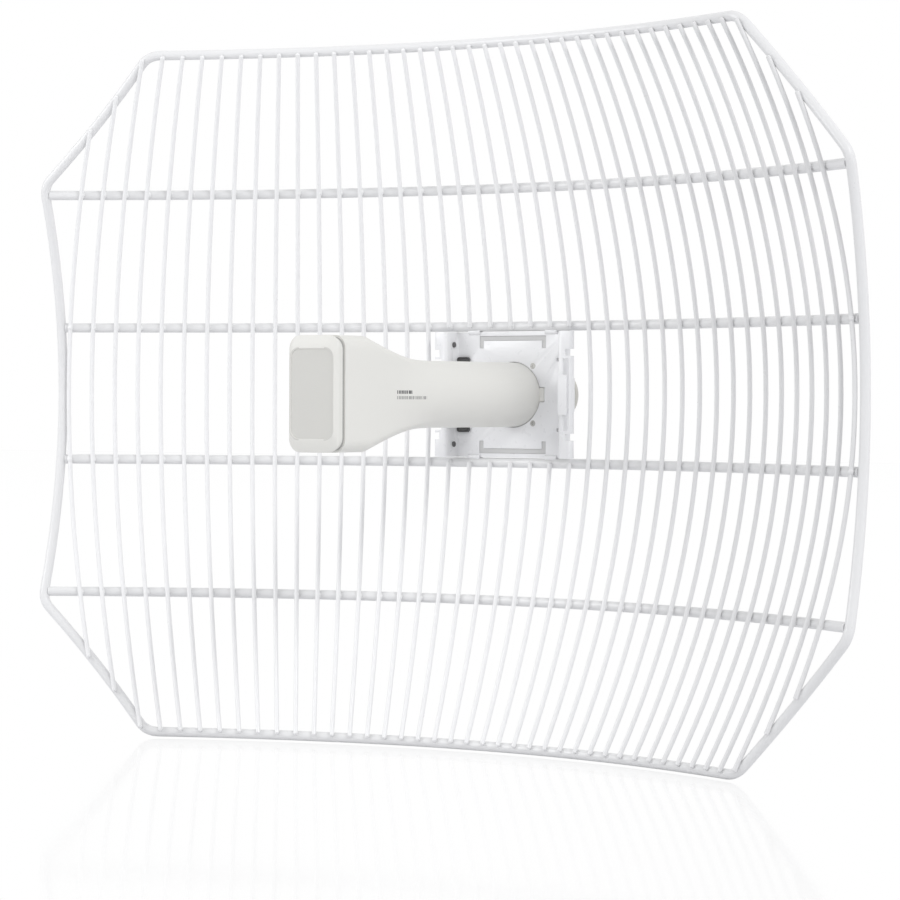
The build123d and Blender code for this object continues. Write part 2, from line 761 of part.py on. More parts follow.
def make_grommet(cap):
    shell_y = tube_rear_y + running_gap + dome_depth * sqrt(1 - (abs(grommet_z) / rear_radius) ** 2)
    grommet = rod_y(grommet_radius, shell_y - 4.5, shell_y + grommet_flange, 0, grommet_z)
    grommet += rod_y(grommet_radius + 1.2, shell_y - 0.4, shell_y + grommet_flange, 0, grommet_z)
    grommet -= rod_y(1.2, shell_y - 6, shell_y + 6, 0, grommet_z)
    return grommet - cap


rim = make_rim()
rib_heights = [(1.5 - i) * rib_spacing for i in range(4)]
ribs = [make_rib(z) for z in rib_heights]
save(rim, "rim_rod")
for name, rib in zip(("rib_top", "rib_upper", "rib_lower", "rib_bottom"), ribs):
    save(rib, name)

first_full = wires_cut_each_side + 1
cut_indices = range(-wires_cut_each_side, wires_cut_each_side + 1)
save(make_wires(range(-wires_each_side, -wires_cut_each_side)), "wires_left")
save(make_wires(range(first_full, wires_each_side + 1)), "wires_right")
save(make_wires(cut_indices, z0=rib_spacing / 2), "wires_upper")
save(make_wires(cut_indices, z1=-rib_spacing / 2), "wires_lower")

plate = make_plate()
save(plate, "mounting_plate")
save(make_plate_welds(plate, ribs), "plate_welds")
save(make_socket(), "feed_socket")
save(make_socket_screws(), "socket_screws")
save(make_lock_clip(), "lock_clip")
save(make_release_tab(), "release_tab")
save(make_release_spring(), "release_spring")

save(make_housing(), "feed_housing")
save(make_front_cover(), "front_cover")
save(make_cover_gasket(), "cover_gasket")
save(make_radio_board(), "radio_board")
save(make_dipole(), "dipole_arms")
save(make_dipole_support(), "dipole_support")
save(make_sub_reflector(), "sub_reflector")
save(make_shield_cans(), "shield_cans")
save(make_jack(), "ethernet_jack")
save(make_contacts(), "jack_contacts")
save(make_bulkhead(), "port_bulkhead")
save(make_light_pipes(), "light_pipes")
save(make_leds(), "status_leds")
save(make_reset_switch(), "reset_switch")
save(make_reset_button(), "reset_button")

cap = make_port_cap()
save(cap, "port_cap")
save(make_port_seal(), "port_seal")
save(make_grommet(cap), "cable_grommet")
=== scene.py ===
# %% [markdown]
# # A parabolic grid antenna for a pole
#
# The antenna is a dish made of bent wire. Its bent plate carries a socket,
# and a tube with a box-shaped head plugs into it and holds the radio. This
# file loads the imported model, gives every part its finish, and models anew
# the parts that people look at most. Each cell makes one thing.

# %% Load the model
import json
import math
import bpy
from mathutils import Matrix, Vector


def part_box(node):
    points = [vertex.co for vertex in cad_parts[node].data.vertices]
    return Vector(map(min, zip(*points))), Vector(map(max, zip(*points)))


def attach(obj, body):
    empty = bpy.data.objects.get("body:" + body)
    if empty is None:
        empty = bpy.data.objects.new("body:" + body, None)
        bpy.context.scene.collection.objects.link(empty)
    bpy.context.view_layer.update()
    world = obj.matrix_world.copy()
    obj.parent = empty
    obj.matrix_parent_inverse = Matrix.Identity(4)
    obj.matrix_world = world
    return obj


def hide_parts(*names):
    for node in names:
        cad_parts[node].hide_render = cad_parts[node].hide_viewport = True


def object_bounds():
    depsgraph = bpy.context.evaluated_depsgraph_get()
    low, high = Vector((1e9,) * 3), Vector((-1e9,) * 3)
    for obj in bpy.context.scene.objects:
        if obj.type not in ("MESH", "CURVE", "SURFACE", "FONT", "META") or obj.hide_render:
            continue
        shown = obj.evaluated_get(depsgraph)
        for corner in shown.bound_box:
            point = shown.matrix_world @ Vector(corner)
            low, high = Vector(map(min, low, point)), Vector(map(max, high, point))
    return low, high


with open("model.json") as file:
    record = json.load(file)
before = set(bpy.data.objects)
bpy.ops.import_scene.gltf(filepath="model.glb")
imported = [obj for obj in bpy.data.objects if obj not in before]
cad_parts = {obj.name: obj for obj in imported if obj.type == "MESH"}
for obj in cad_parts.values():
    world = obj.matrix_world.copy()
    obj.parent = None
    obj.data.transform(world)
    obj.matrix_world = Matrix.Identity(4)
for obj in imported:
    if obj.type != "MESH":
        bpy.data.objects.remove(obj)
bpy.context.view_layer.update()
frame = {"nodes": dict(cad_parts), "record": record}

nodes = frame["nodes"]

# %% [markdown]
# ## The camera
#
# A long lens far away keeps the wires nearly parallel, as in a catalogue
# picture. The place could be found by eye, but here it comes from three
# numbers that are easy to read: a turn around the dish, a height angle and
# a distance. The small shift moves the picture without tilting the camera.

# %% Camera
MM = 0.001
LENS = 133.97
CAMERA_DISTANCE = 2.2405
CAMERA_TURN = math.radians(34.0)
CAMERA_RISE = math.radians(-0.05)
CAMERA_ROLL = math.radians(0.178)
CAMERA_TARGET = Vector((-0.0524, 0.0025, 0.0))
CAMERA_SHIFT_Y = -0.06165


def add_camera():
    away = Vector((math.sin(CAMERA_TURN) * math.cos(CAMERA_RISE),
                   -math.cos(CAMERA_TURN) * math.cos(CAMERA_RISE),
                   math.sin(CAMERA_RISE)))
    data = bpy.data.cameras.new("studio_camera")
    data.lens = LENS
    data.sensor_width = 36.0
    data.shift_y = CAMERA_SHIFT_Y
    data.clip_start, data.clip_end = 0.05, 60.0
    camera = bpy.data.objects.new("studio_camera", data)
    camera.location = CAMERA_TARGET + away * CAMERA_DISTANCE
    turn = away.to_track_quat("Z", "Y").to_matrix().to_4x4()
    camera.rotation_euler = turn.to_euler()
    camera.rotation_euler.rotate_axis("Z", CAMERA_ROLL)
    bpy.context.collection.objects.link(camera)
    bpy.context.scene.camera = camera
    return camera


camera = add_camera()
print("camera at", [round(v, 3) for v in camera.location])

# %% [markdown]
# ## Small helpers for nodes
#
# A material is a graph. Writing `link(a, b)` for each noodle soon hides what
# the graph does, so a few short helpers add a node, set its values and
# connect it in one line.

# %% Node helpers


def add_node(tree, kind, **values):
    """Add a node. A value is a number, a colour or another node's socket."""
    node = tree.nodes.new(kind)
    for key, value in values.items():
        if key.startswith("p_"):
            setattr(node, key[2:], value)
            continue
        name = key.replace("__", " ")
        socket = node.inputs[int(name[1:])] if name[0] == "i" and name[1:].isdigit() else node.inputs[name]
        if isinstance(value, bpy.types.NodeSocket):
            tree.links.new(value, socket)
        else:
            socket.default_value = value
    return node


def maths(tree, operation, first, second=0.0):
    return add_node(tree, "ShaderNodeMath", p_operation=operation, i0=first, i1=second).outputs[0]


def blend_colours(tree, factor, first, second):
    node = tree.nodes.new("ShaderNodeMix")
    node.data_type = "RGBA"
    for socket, value in zip((node.inputs[0], node.inputs[6], node.inputs[7]), (factor, first, second)):
        if isinstance(value, bpy.types.NodeSocket):
            tree.links.new(value, socket)
        else:
            socket.default_value = value
    return node.outputs[2]


def grey(value, warm=0.0, alpha=1.0):
    """A grey that leans to yellow by warm, or to blue when warm is negative."""
    return (value, value * (1 - 0.15 * warm), value * (1 - warm), alpha)


def new_group(name, inputs, outputs):
    """A shader node group with named sockets."""
    group = bpy.data.node_groups.new(name, "ShaderNodeTree")
    for title, kind, value in inputs:
        socket = group.interface.new_socket(name=title, in_out="INPUT", socket_type=kind)
        socket.default_value = value
    for title, kind in outputs:
        group.interface.new_socket(name=title, in_out="OUTPUT", socket_type=kind)
    start = group.nodes.new("NodeGroupInput")
    end = group.nodes.new("NodeGroupOutput")
    return group, start.outputs, end.inputs


FLOAT, COLOUR = "NodeSocketFloat", "NodeSocketColor"

# %% [markdown]
# ## Powder coat
#
# The wires, rods and plate are steel under baked white powder. Up close the
# coat is not flat: it flows into a fine orange peel, its tone is faintly
# cloudy, and dust settles on what faces up. All three could be painted, but
# one node group that works on object coordinates covers every part at the
# same scale, and each material only sets how much. The group also paints
# shade: the coat is darkened towards the right-hand edge of the dish, which
# stands in for the weaker light there.

# %% Powder coat group


def make_powder_coat():
    group, given, made = new_group(
        "powder_coat",
        [("Colour", COLOUR, grey(0.8)), ("Shade", COLOUR, grey(0.7)), ("Dust", FLOAT, 0.1),
         ("Roughness", FLOAT, 0.35), ("Peel", FLOAT, 1.0),
         ("Greys", FLOAT, 0.0)],
        [("Colour", COLOUR), ("Roughness", FLOAT), ("Height", FLOAT)])
    place = group.nodes.new("ShaderNodeTexCoord").outputs["Object"]
    peel = add_node(group, "ShaderNodeTexNoise", Vector=place, Scale=900.0, Detail=2.0).outputs["Fac"]
    ripple = add_node(group, "ShaderNodeTexNoise", Vector=place, Scale=260.0, Detail=1.0).outputs["Fac"]
    cloud = add_node(group, "ShaderNodeTexNoise", Vector=place, Scale=14.0, Detail=4.0).outputs["Fac"]
    speck = add_node(group, "ShaderNodeTexVoronoi", Vector=place, Scale=420.0).outputs["Distance"]
    pinhole = add_node(group, "ShaderNodeMapRange", Value=speck, i1=0.05, i2=0.12, i3=1.0, i4=0.0).outputs[0]
    mixed = blend_colours(group, maths(group, "MULTIPLY", cloud, 0.35), given["Colour"], given["Shade"])
    # Painted shade: from x = 0.02 to 0.22 m the colour is darkened towards grey(0.05), for the less lit
    # right-hand side of the dish.
    across = add_node(group, "ShaderNodeSeparateXYZ", Vector=place).outputs["X"]
    right_shade_mask = add_node(group, "ShaderNodeMapRange", Value=across, i1=0.02, i2=0.22,
                        i3=0.0, i4=1.0).outputs[0]
    mixed = blend_colours(group, maths(group, "MULTIPLY", right_shade_mask, given["Greys"]), mixed, grey(0.05))
    up = add_node(group, "ShaderNodeSeparateXYZ",
                  Vector=group.nodes.new("ShaderNodeNewGeometry").outputs["Normal"]).outputs["Z"]
    settles = maths(group, "MULTIPLY", maths(group, "MAXIMUM", up, 0.0), cloud)
    dusty = maths(group, "MULTIPLY", settles, given["Dust"])
    mixed = blend_colours(group, dusty, mixed, grey(0.62, 0.08))
    speckled = maths(group, "MULTIPLY", pinhole, maths(group, "MULTIPLY", given["Dust"], 0.5))
    group.links.new(blend_colours(group, speckled, mixed, given["Shade"]), made["Colour"])
    uneven = maths(group, "MULTIPLY", maths(group, "SUBTRACT", ripple, 0.5), 0.25)
    group.links.new(maths(group, "ADD", given["Roughness"], maths(group, "ADD", uneven, dusty)),
                    made["Roughness"])
    height = maths(group, "ADD", maths(group, "MULTIPLY", peel, 0.4), ripple)
    group.links.new(maths(group, "MULTIPLY", height, given["Peel"]), made["Height"])
    return group


powder_coat = make_powder_coat()
print("group:", powder_coat.name, len(powder_coat.nodes), "nodes")

# %% [markdown]
# ## Moulded plastic
#
# The feed is a matt outdoor plastic. A spark-eroded mould leaves a fine even
# grain, the flow of the melt leaves faint clouds of tone, and handling
# polishes a few streaks. The same group makes the dark rubber, with a
# coarser grain and a stronger change of tone.

# %% Moulded plastic group


def make_moulded_grain():
    group, given, made = new_group(
        "moulded_grain",
        [("Colour", COLOUR, grey(0.6)), ("Shade", COLOUR, grey(0.5)), ("Grain", FLOAT, 1600.0),
         ("Roughness", FLOAT, 0.5), ("Streaks", FLOAT, 0.2)],
        [("Colour", COLOUR), ("Roughness", FLOAT), ("Height", FLOAT)])
    place = group.nodes.new("ShaderNodeTexCoord").outputs["Object"]
    grain = add_node(group, "ShaderNodeTexNoise", Vector=place, Scale=given["Grain"],
                     Detail=3.0).outputs["Fac"]
    cloud = add_node(group, "ShaderNodeTexNoise", Vector=place, Scale=22.0, Detail=5.0).outputs["Fac"]
    drawn = add_node(group, "ShaderNodeMapping", Vector=place, Scale=(900.0, 30.0, 900.0)).outputs[0]
    streak = add_node(group, "ShaderNodeTexNoise", Vector=drawn, Scale=1.0, Detail=2.0).outputs["Fac"]
    tone = maths(group, "MULTIPLY", cloud, 0.5)
    fine = maths(group, "MULTIPLY", grain, 0.16)
    mixed = blend_colours(group, maths(group, "ADD", tone, fine), given["Colour"], given["Shade"])
    group.links.new(mixed, made["Colour"])
    rub = maths(group, "MULTIPLY", maths(group, "SUBTRACT", streak, 0.5), given["Streaks"])
    patchy = maths(group, "MULTIPLY", maths(group, "SUBTRACT", grain, 0.5), 0.2)
    worn = maths(group, "ADD", rub, patchy)
    group.links.new(maths(group, "ADD", given["Roughness"], worn), made["Roughness"])
    group.links.new(grain, made["Height"])
    return group


moulded_grain = make_moulded_grain()
print("group:", moulded_grain.name, len(moulded_grain.nodes), "nodes")

# %% [markdown]
# ## Worked metal
#
# Screws, spring wire, shield cans and contacts are bare or plated metal.
# Rolling and drawing leave fine lines along one direction, and plating has
# soft clouds where it is thicker. A stretched noise gives the lines.

# %% Worked metal group


def make_worked_metal():
    group, given, made = new_group(
        "worked_metal",
        [("Colour", COLOUR, grey(0.6)), ("Shade", COLOUR, grey(0.45)), ("Lines", FLOAT, 1.0),
         ("Roughness", FLOAT, 0.3)],
        [("Colour", COLOUR), ("Roughness", FLOAT), ("Height", FLOAT)])
    place = group.nodes.new("ShaderNodeTexCoord").outputs["Object"]
    drawn = add_node(group, "ShaderNodeMapping", Vector=place, Scale=(2400.0, 60.0, 2400.0)).outputs[0]
    lines = add_node(group, "ShaderNodeTexNoise", Vector=drawn, Scale=1.0, Detail=2.0).outputs["Fac"]
    cloud = add_node(group, "ShaderNodeTexNoise", Vector=place, Scale=90.0, Detail=4.0).outputs["Fac"]
    both = maths(group, "ADD", maths(group, "MULTIPLY", lines, 0.35), maths(group, "MULTIPLY", cloud, 0.5))
    group.links.new(blend_colours(group, both, given["Colour"], given["Shade"]), made["Colour"])
    uneven = maths(group, "MULTIPLY", maths(group, "SUBTRACT", cloud, 0.5), 0.3)
    group.links.new(maths(group, "ADD", given["Roughness"], uneven), made["Roughness"])
    group.links.new(maths(group, "MULTIPLY", lines, given["Lines"]), made["Height"])
    return group


worked_metal = make_worked_metal()
print("group:", worked_metal.name, len(worked_metal.nodes), "nodes")

# %% [markdown]
# ## One material for each finish
#
# Every material has its own Principled shader. The groups only feed what
# changes over the surface: colour, roughness and the height of the bump.
# What is the same everywhere, such as metalness, is set on the shader.

# %% Materials


def make_finish(name, group, bump, bump_distance, shader=None, **values):
    material = bpy.data.materials.new(name)
    material.use_nodes = True
    tree = material.node_tree
    principled = tree.nodes["Principled BSDF"]
    detail = tree.nodes.new("ShaderNodeGroup")
    detail.node_tree = group
    for title, value in values.items():
        detail.inputs[title].default_value = value
    tree.links.new(detail.outputs["Colour"], principled.inputs["Base Color"])
    tree.links.new(detail.outputs["Roughness"], principled.inputs["Roughness"])
    relief = add_node(tree, "ShaderNodeBump", Strength=bump, Distance=bump_distance,
                      Height=detail.outputs["Height"])
    tree.links.new(relief.outputs[0], principled.inputs["Normal"])
    for title, value in (shader or {}).items():
        principled.inputs[title].default_value = value
    return material

# %% [markdown]
# Printed bars are a mask: it is one where a point lies in a row on the
# right-hand side and zero elsewhere, and a stretched noise breaks each row
# into dashes. It only changes the base colour.

# %% Printed bars


def print_bars(material, rows, tone):
    """Print rows of short dark bars on the +X side. A row is low y, high y, low z, high z, strength."""
    tree = material.node_tree
    place = tree.nodes.new("ShaderNodeTexCoord").outputs["Object"]
    split = add_node(tree, "ShaderNodeSeparateXYZ", Vector=place)
    x, y, z = (split.outputs[axis] for axis in "XYZ")
    ink = maths(tree, "GREATER_THAN", 0.0, 1.0)
    for low_y, high_y, low_z, high_z, strength in rows:
        row = maths(tree, "GREATER_THAN", y, low_y)
        limits = (("LESS_THAN", y, high_y), ("GREATER_THAN", z, low_z), ("LESS_THAN", z, high_z))
        for test, axis, value in limits:
            row = maths(tree, "MULTIPLY", row, maths(tree, test, axis, value))
        ink = maths(tree, "MAXIMUM", ink, maths(tree, "MULTIPLY", row, strength))
    dash = add_node(tree, "ShaderNodeTexNoise", p_noise_dimensions="1D", W=maths(tree, "MULTIPLY", y, 900.0),
                    Scale=1.0, Detail=1.0).outputs["Fac"]
    ink = maths(tree, "MULTIPLY", ink, maths(tree, "GREATER_THAN", dash, 0.44))
    ink = maths(tree, "MULTIPLY", ink, maths(tree, "GREATER_THAN", x, 0.0))
    socket = tree.nodes["Principled BSDF"].inputs["Base Color"]
    plain = socket.links[0].from_socket
    tree.links.new(blend_colours(tree, ink, plain, grey(tone)), socket)

# %% [markdown]
# Three short functions, one for each family of finish, keep the palette
# readable: each needs only the numbers that tell one finish from another.

# %% Families of finish


def coat_finish(name, tone, shade, dust=0.10, roughness=0.34, peel=1.0, cool=-0.01, painted_right_shade=0.0):
    return make_finish(name, powder_coat, 0.35, 0.0004, {"Coat Weight": 0.12, "Coat Roughness": 0.15},
                       Colour=grey(tone, cool), Shade=grey(shade, cool), Dust=dust, Roughness=roughness,
                       Peel=peel, Greys=painted_right_shade)


def plastic_finish(name, tone, shade, warm, roughness=0.48, grain=1600.0, streaks=0.16, bump=0.18):
    return make_finish(name, moulded_grain, bump, 0.0003, None, Colour=grey(tone, warm),
                       Shade=grey(shade, warm), Grain=grain, Roughness=roughness, Streaks=streaks)


def metal_finish(name, colour, shade, roughness=0.3, lines=1.0):
    return make_finish(name, worked_metal, 0.2, 0.0002, {"Metallic": 1.0}, Colour=colour, Shade=shade,
                       Roughness=roughness, Lines=lines)

# %% [markdown]
# The table below is the whole palette: tones are low for rubber and high for
# powder coat, and warm plastics lean to yellow. The feed also carries two
# rows of small printed bars, which are ink in the material and not a piece.

# %% Palette
finish = {
    # painted_right_shade sets how much painted shade darkens the right-hand side of the dish.
    "coated_wire": coat_finish("coated_wire", 0.80, 0.73, painted_right_shade=0.17),
    "coated_rod": coat_finish("coated_rod", 0.73, 0.66, painted_right_shade=0.06),
    "coated_sheet": coat_finish("coated_sheet", 0.79, 0.74, dust=0.04, roughness=0.32, peel=0.7, cool=-0.02),
    "socket_plastic": plastic_finish("socket_plastic", 0.56, 0.50, 0.0),
    "housing_plastic": plastic_finish("housing_plastic", 0.70, 0.645, 0.05),
    "printed_plastic": plastic_finish("printed_plastic", 0.70, 0.645, 0.05),
    "cap_plastic": plastic_finish("cap_plastic", 0.52, 0.46, 0.08, roughness=0.52),
    # panel_painted_shade is the housing plastic made darker: painted shade for the cover's sunk front panel.
    "panel_painted_shade": plastic_finish("panel_painted_shade", 0.585, 0.545, 0.055, roughness=0.55),
    "insulator_plastic": plastic_finish("insulator_plastic", 0.78, 0.70, 0.04, roughness=0.4),
    "button_plastic": plastic_finish("button_plastic", 0.035, 0.02, 0.0, roughness=0.45),
    "grey_silicone": plastic_finish("grey_silicone", 0.36, 0.31, 0.03, roughness=0.6, grain=900.0, bump=0.3),
    # The plugs' dark rubber is partly painted shade for the slots that they fill.
    "plug_shade_rubber": plastic_finish("plug_shade_rubber", 0.13, 0.09, 0.0, roughness=0.7, grain=900.0, bump=0.4),
    "seal_rubber": plastic_finish("seal_rubber", 0.045, 0.02, 0.0, roughness=0.75, grain=900.0, bump=0.4),
    "screw_steel": metal_finish("screw_steel", grey(0.62, 0.03), grey(0.42, 0.05), 0.32),
    "spring_steel": metal_finish("spring_steel", grey(0.70), grey(0.5, 0.02), 0.22),
    "tinned_steel": metal_finish("tinned_steel", grey(0.72, 0.01), grey(0.55, 0.02), 0.35),
    "jack_metal": metal_finish("jack_metal", grey(0.66, 0.02), grey(0.48, 0.03), 0.25),
    "contact_brass": metal_finish("contact_brass", (0.86, 0.62, 0.22, 1.0), (0.62, 0.42, 0.14, 1.0), 0.25),
    "board_laminate": make_finish("board_laminate", moulded_grain, 0.25, 0.0003,
                                  {"Coat Weight": 0.6, "Coat Roughness": 0.2},
                                  Colour=(0.03, 0.17, 0.07, 1.0), Shade=(0.015, 0.09, 0.04, 1.0),
                                  Grain=700.0, Roughness=0.4, Streaks=0.1),
    "clear_plastic": make_finish("clear_plastic", moulded_grain, 0.05, 0.0002,
                                 {"Transmission Weight": 0.85, "IOR": 1.49},
                                 Colour=(0.86, 0.93, 0.90, 1.0), Shade=(0.74, 0.84, 0.80, 1.0),
                                 Grain=500.0, Roughness=0.12, Streaks=0.05),
}
print_bars(finish["printed_plastic"], [(-0.161, -0.145, 0.0002, 0.0023, 1.0),
                                      (-0.161, -0.130, -0.0032, -0.0012, 0.6)], 0.11)
print("finishes:", len(finish))

# %% [markdown]
# ## Dress the CAD nodes
#
# The record says which finish each node has. The parts that keep their CAD
# shape only need that material. The gasket behind the cover is rubber in the
# record, but it looks like grey silicone.

# %% Assign finishes
record = frame["record"]
slot_of = {row["node"]: row["material_slot"] for row in record["subparts"]}


def dress(piece, name):
    piece.data.materials.clear()
    piece.data.materials.append(finish[name])


for name, slot_name in slot_of.items():
    dress(nodes[name], slot_name)
dress(nodes["cover_gasket"], "grey_silicone")
print("dressed:", len(slot_of))

# %% [markdown]
# ## Helpers for modelling
#
# The next pieces are modelled with the same operators that the menus call.
# An operator works on whatever is selected, and nothing warns you when too
# much is. So every piece starts with nothing selected, and faces or edges
# are then picked in code, by where they are.

# %% Modelling helpers
import bmesh


def start_clean():
    if bpy.context.mode != "OBJECT":
        bpy.ops.object.mode_set(mode="OBJECT")
    bpy.ops.object.select_all(action="DESELECT")


def wake(piece, mode="OBJECT"):
    """Make a piece the only selected and the active one, in a mode."""
    start_clean()
    piece.select_set(True)
    bpy.context.view_layer.objects.active = piece
    if mode == "EDIT":
        bpy.ops.object.mode_set(mode="EDIT")
        bpy.ops.mesh.select_all(action="SELECT")


def pick(piece, kind, wanted):
    """In edit mode, select only the vertices, edges or faces that wanted() accepts."""
    bpy.context.tool_settings.mesh_select_mode = (kind == "verts", kind == "edges", kind == "faces")
    bpy.ops.mesh.select_all(action="DESELECT")
    mesh = bmesh.from_edit_mesh(piece.data)
    chosen = [item for item in getattr(mesh, kind) if wanted(item)]
    for item in chosen:
        item.select_set(True)
    mesh.select_flush(True)
    bmesh.update_edit_mesh(piece.data)
    return len(chosen)


def settle(piece, name):
    """Put the place into the mesh, so that the object sits unturned at the origin."""
    wake(piece)
    bpy.ops.object.transform_apply(location=True, rotation=True, scale=True)
    piece.name = name
    piece.data.name = name
    return piece


def apply_modifier(piece, kind, **values):
    wake(piece)
    modifier = piece.modifiers.new(kind.lower(), kind)
    for key, value in values.items():
        setattr(modifier, key, value)
    bpy.ops.object.modifier_apply(modifier=modifier.name)


def smooth(piece, angle=35.0):
    wake(piece)
    bpy.ops.object.shade_smooth_by_angle(angle=math.radians(angle))


def face_outward(piece):
    """Merge doubles and turn every face outwards."""
    wake(piece, "EDIT")
    bpy.ops.mesh.remove_doubles(threshold=0.000005)
    bpy.ops.mesh.normals_make_consistent(inside=False)
    bpy.ops.object.mode_set(mode="OBJECT")

# %% [markdown]
# A primitive is only a start. These helpers put one at its size and place,
# draw a line by extruding a point, join pieces, and cut or merge them with
# an applied boolean. The last one hands a finished piece to its body.

# %% Starting shapes and joining


def add_block(name, low, high):
    """A box primitive between two corners, in metres."""
    start_clean()
    low, high = Vector(low), Vector(high)
    bpy.ops.mesh.primitive_cube_add(size=1.0, location=(low + high) / 2)
    piece = bpy.context.object
    piece.dimensions = high - low
    return settle(piece, name)


def add_rod(name, radius, start, end, sides=32):
    """A round bar primitive from start to end."""
    start_clean()
    start, end = Vector(start), Vector(end)
    bpy.ops.mesh.primitive_cylinder_add(vertices=sides, radius=radius, depth=(end - start).length,
                                        location=(start + end) / 2)
    piece = bpy.context.object
    piece.rotation_euler = (end - start).to_track_quat("Z", "Y").to_euler()
    return settle(piece, name)


def draw_line(name, points, closed=False):
    """Start from one point and extrude it from place to place. A closed line gets a face."""
    start_clean()
    bpy.ops.mesh.primitive_plane_add(size=0.001, location=points[0])
    piece = settle(bpy.context.object, name)
    bpy.context.tool_settings.mesh_select_mode = (True, False, False)
    wake(piece, "EDIT")
    bpy.ops.mesh.merge(type="CENTER")
    for before, after in zip(points, points[1:]):
        step = Vector(after) - Vector(before)
        bpy.ops.mesh.extrude_region_move(TRANSFORM_OT_translate={"value": step})
    bpy.ops.mesh.select_all(action="SELECT")
    if closed:
        bpy.ops.mesh.edge_face_add()
    return piece


def join_all(pieces, name):
    """Make one piece of several."""
    start_clean()
    for piece in pieces:
        piece.select_set(True)
    bpy.context.view_layer.objects.active = pieces[0]
    if len(pieces) > 1:
        bpy.ops.object.join()
    pieces[0].name = name
    return pieces[0]


def combine(piece, tools, operation="DIFFERENCE"):
    """Cut tools out of a piece, or merge them into it, then throw the tools away."""
    for tool in tools:
        apply_modifier(piece, "BOOLEAN", object=tool, operation=operation, solver="EXACT")
        bpy.data.objects.remove(tool)


def place_piece(piece, body, slot_name, node=None, look=None):
    """Give a finished piece its body and its finish, and hide the CAD node that it stands for."""
    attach(piece, body)
    if node:
        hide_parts(node)
    dress(piece, look or slot_name)
    print(piece.name, "faces:", len(piece.data.polygons))


# %% [markdown]
# ## The feed's housing
#
# The feed starts as a flat box with rounded corners and flows into a round
# tube. A loft would be one way. Here one outline does all the work: it is
# drawn point by point with round corners, extruded step by step along the
# tube, and every step is scaled and made a little rounder with To Sphere,
# until it is a circle. The straight sides need points as well, or they could
# never turn round. First come the sizes, and the outline at any place.

# %% Flare of the housing
WALL = 2.2 * MM
TUBE_RADIUS, REAR_RADIUS = 21.3 * MM, 19.5 * MM
SHOULDER_Y = 10 * MM
HEAD_CORNER = 8 * MM
BOX_END_Y, FLARE_END_Y = -188 * MM, -100 * MM
housing_low, housing_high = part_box("feed_housing")
cover_low, cover_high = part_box("front_cover")
HEAD_WIDTH = cover_high[0] - cover_low[0]
HEAD_HEIGHT = cover_high[2] - cover_low[2]
FLARE = [  # place, width, height and roundness of the outline, in millimetres
    (-188, 37.0, 71.2, 0.0), (-176, 37.0, 64.0, 0.03), (-159, 37.4, 55.0, 0.14), (-140, 38.8, 48.0, 0.40),
    (-118, 41.4, 43.8, 0.82), (-100, 42.6, 42.6, 1.0)]
FLARE_STEPS = 24
CORNER_STEPS, SIDE_STEPS = 10, (6, 14)


def flare_at(place):
    """Width, height and roundness at a place, on a smooth curve through the table's rows."""
    rows = [FLARE[0]] + FLARE + [FLARE[-1]]
    for before, low, high, after in zip(rows, rows[1:], rows[2:], rows[3:]):
        if low[0] * MM <= place <= high[0] * MM + 1e-9:
            span = high[0] - low[0]
            t = (place / MM - low[0]) / span
            values = []
            for a, b, c, d in zip(before[1:], low[1:], high[1:], after[1:]):
                rise_low = (c - a) / max(high[0] - before[0], 1) * span
                rise_high = (d - b) / max(after[0] - low[0], 1) * span
                values.append((2 * t**3 - 3 * t**2 + 1) * b + (t**3 - 2 * t**2 + t) * rise_low
                              + (3 * t**2 - 2 * t**3) * c + (t**3 - t**2) * rise_high)
            return values[0] * MM, values[1] * MM, min(max(values[2], 0.0), 1.0)
    return FLARE[-1][1] * MM, FLARE[-1][2] * MM, 1.0

# %% [markdown]
# An outline is drawn by extruding a point, and a face closes it. Three small
# steps then do what a hand does with E and S: extrude along the tube, scale
# to a size, or both at once.

# %% Outlines


def add_outline(name, width, height, corner, y):
    """A flat outline with round corners, square to the tube, with points along its straight sides too."""
    x, z = width / 2 - corner, height / 2 - corner
    points = []
    for turn, (sx, sz) in enumerate(((1, 1), (-1, 1), (-1, -1), (1, -1))):
        for i in range(CORNER_STEPS + 1):
            angle = math.pi / 2 * (turn + i / CORNER_STEPS)
            points.append((sx * x + corner * math.cos(angle), y, sz * z + corner * math.sin(angle)))
        start = Vector(points[-1])
        end = Vector((-start.x, y, start.z)) if turn % 2 == 0 else Vector((start.x, y, -start.z))
        steps = SIDE_STEPS[turn % 2]
        points += [start.lerp(end, i / steps) for i in range(1, steps)]
    return draw_line(name, points, closed=True)


def extrude_along(distance):
    """Extrude what is selected along the tube."""
    bpy.ops.mesh.extrude_region_move(TRANSFORM_OT_translate={"value": (0, distance, 0)})


def resize_at(y, width, height, now):
    """Give the selected outline at y a size. now is its place and its present size."""
    bpy.ops.transform.resize(value=(width / now[1], 1, height / now[2]), center_override=(0, y, 0))
    return y, width, height


def step_to(y, width, height, now):
    """Extrude the selected outline to y and give it a size. Returns its new place and size."""
    extrude_along(y - now[0])
    return resize_at(y, width, height, now)


def outline_size(piece):
    """Width and height of what is selected."""
    mesh = bmesh.from_edit_mesh(piece.data)
    corners = [v.co for v in mesh.verts if v.select]
    return (max(c.x for c in corners) - min(c.x for c in corners),
            max(c.z for c in corners) - min(c.z for c in corners))

# %% [markdown]
# The housing is this outline taken from the mouth to the rear end. Small
# steps give a smooth flare with no subdivision. The hollow inside is the
# same shape, a wall thickness smaller, and a boolean cuts it away.

# %% Feed housing


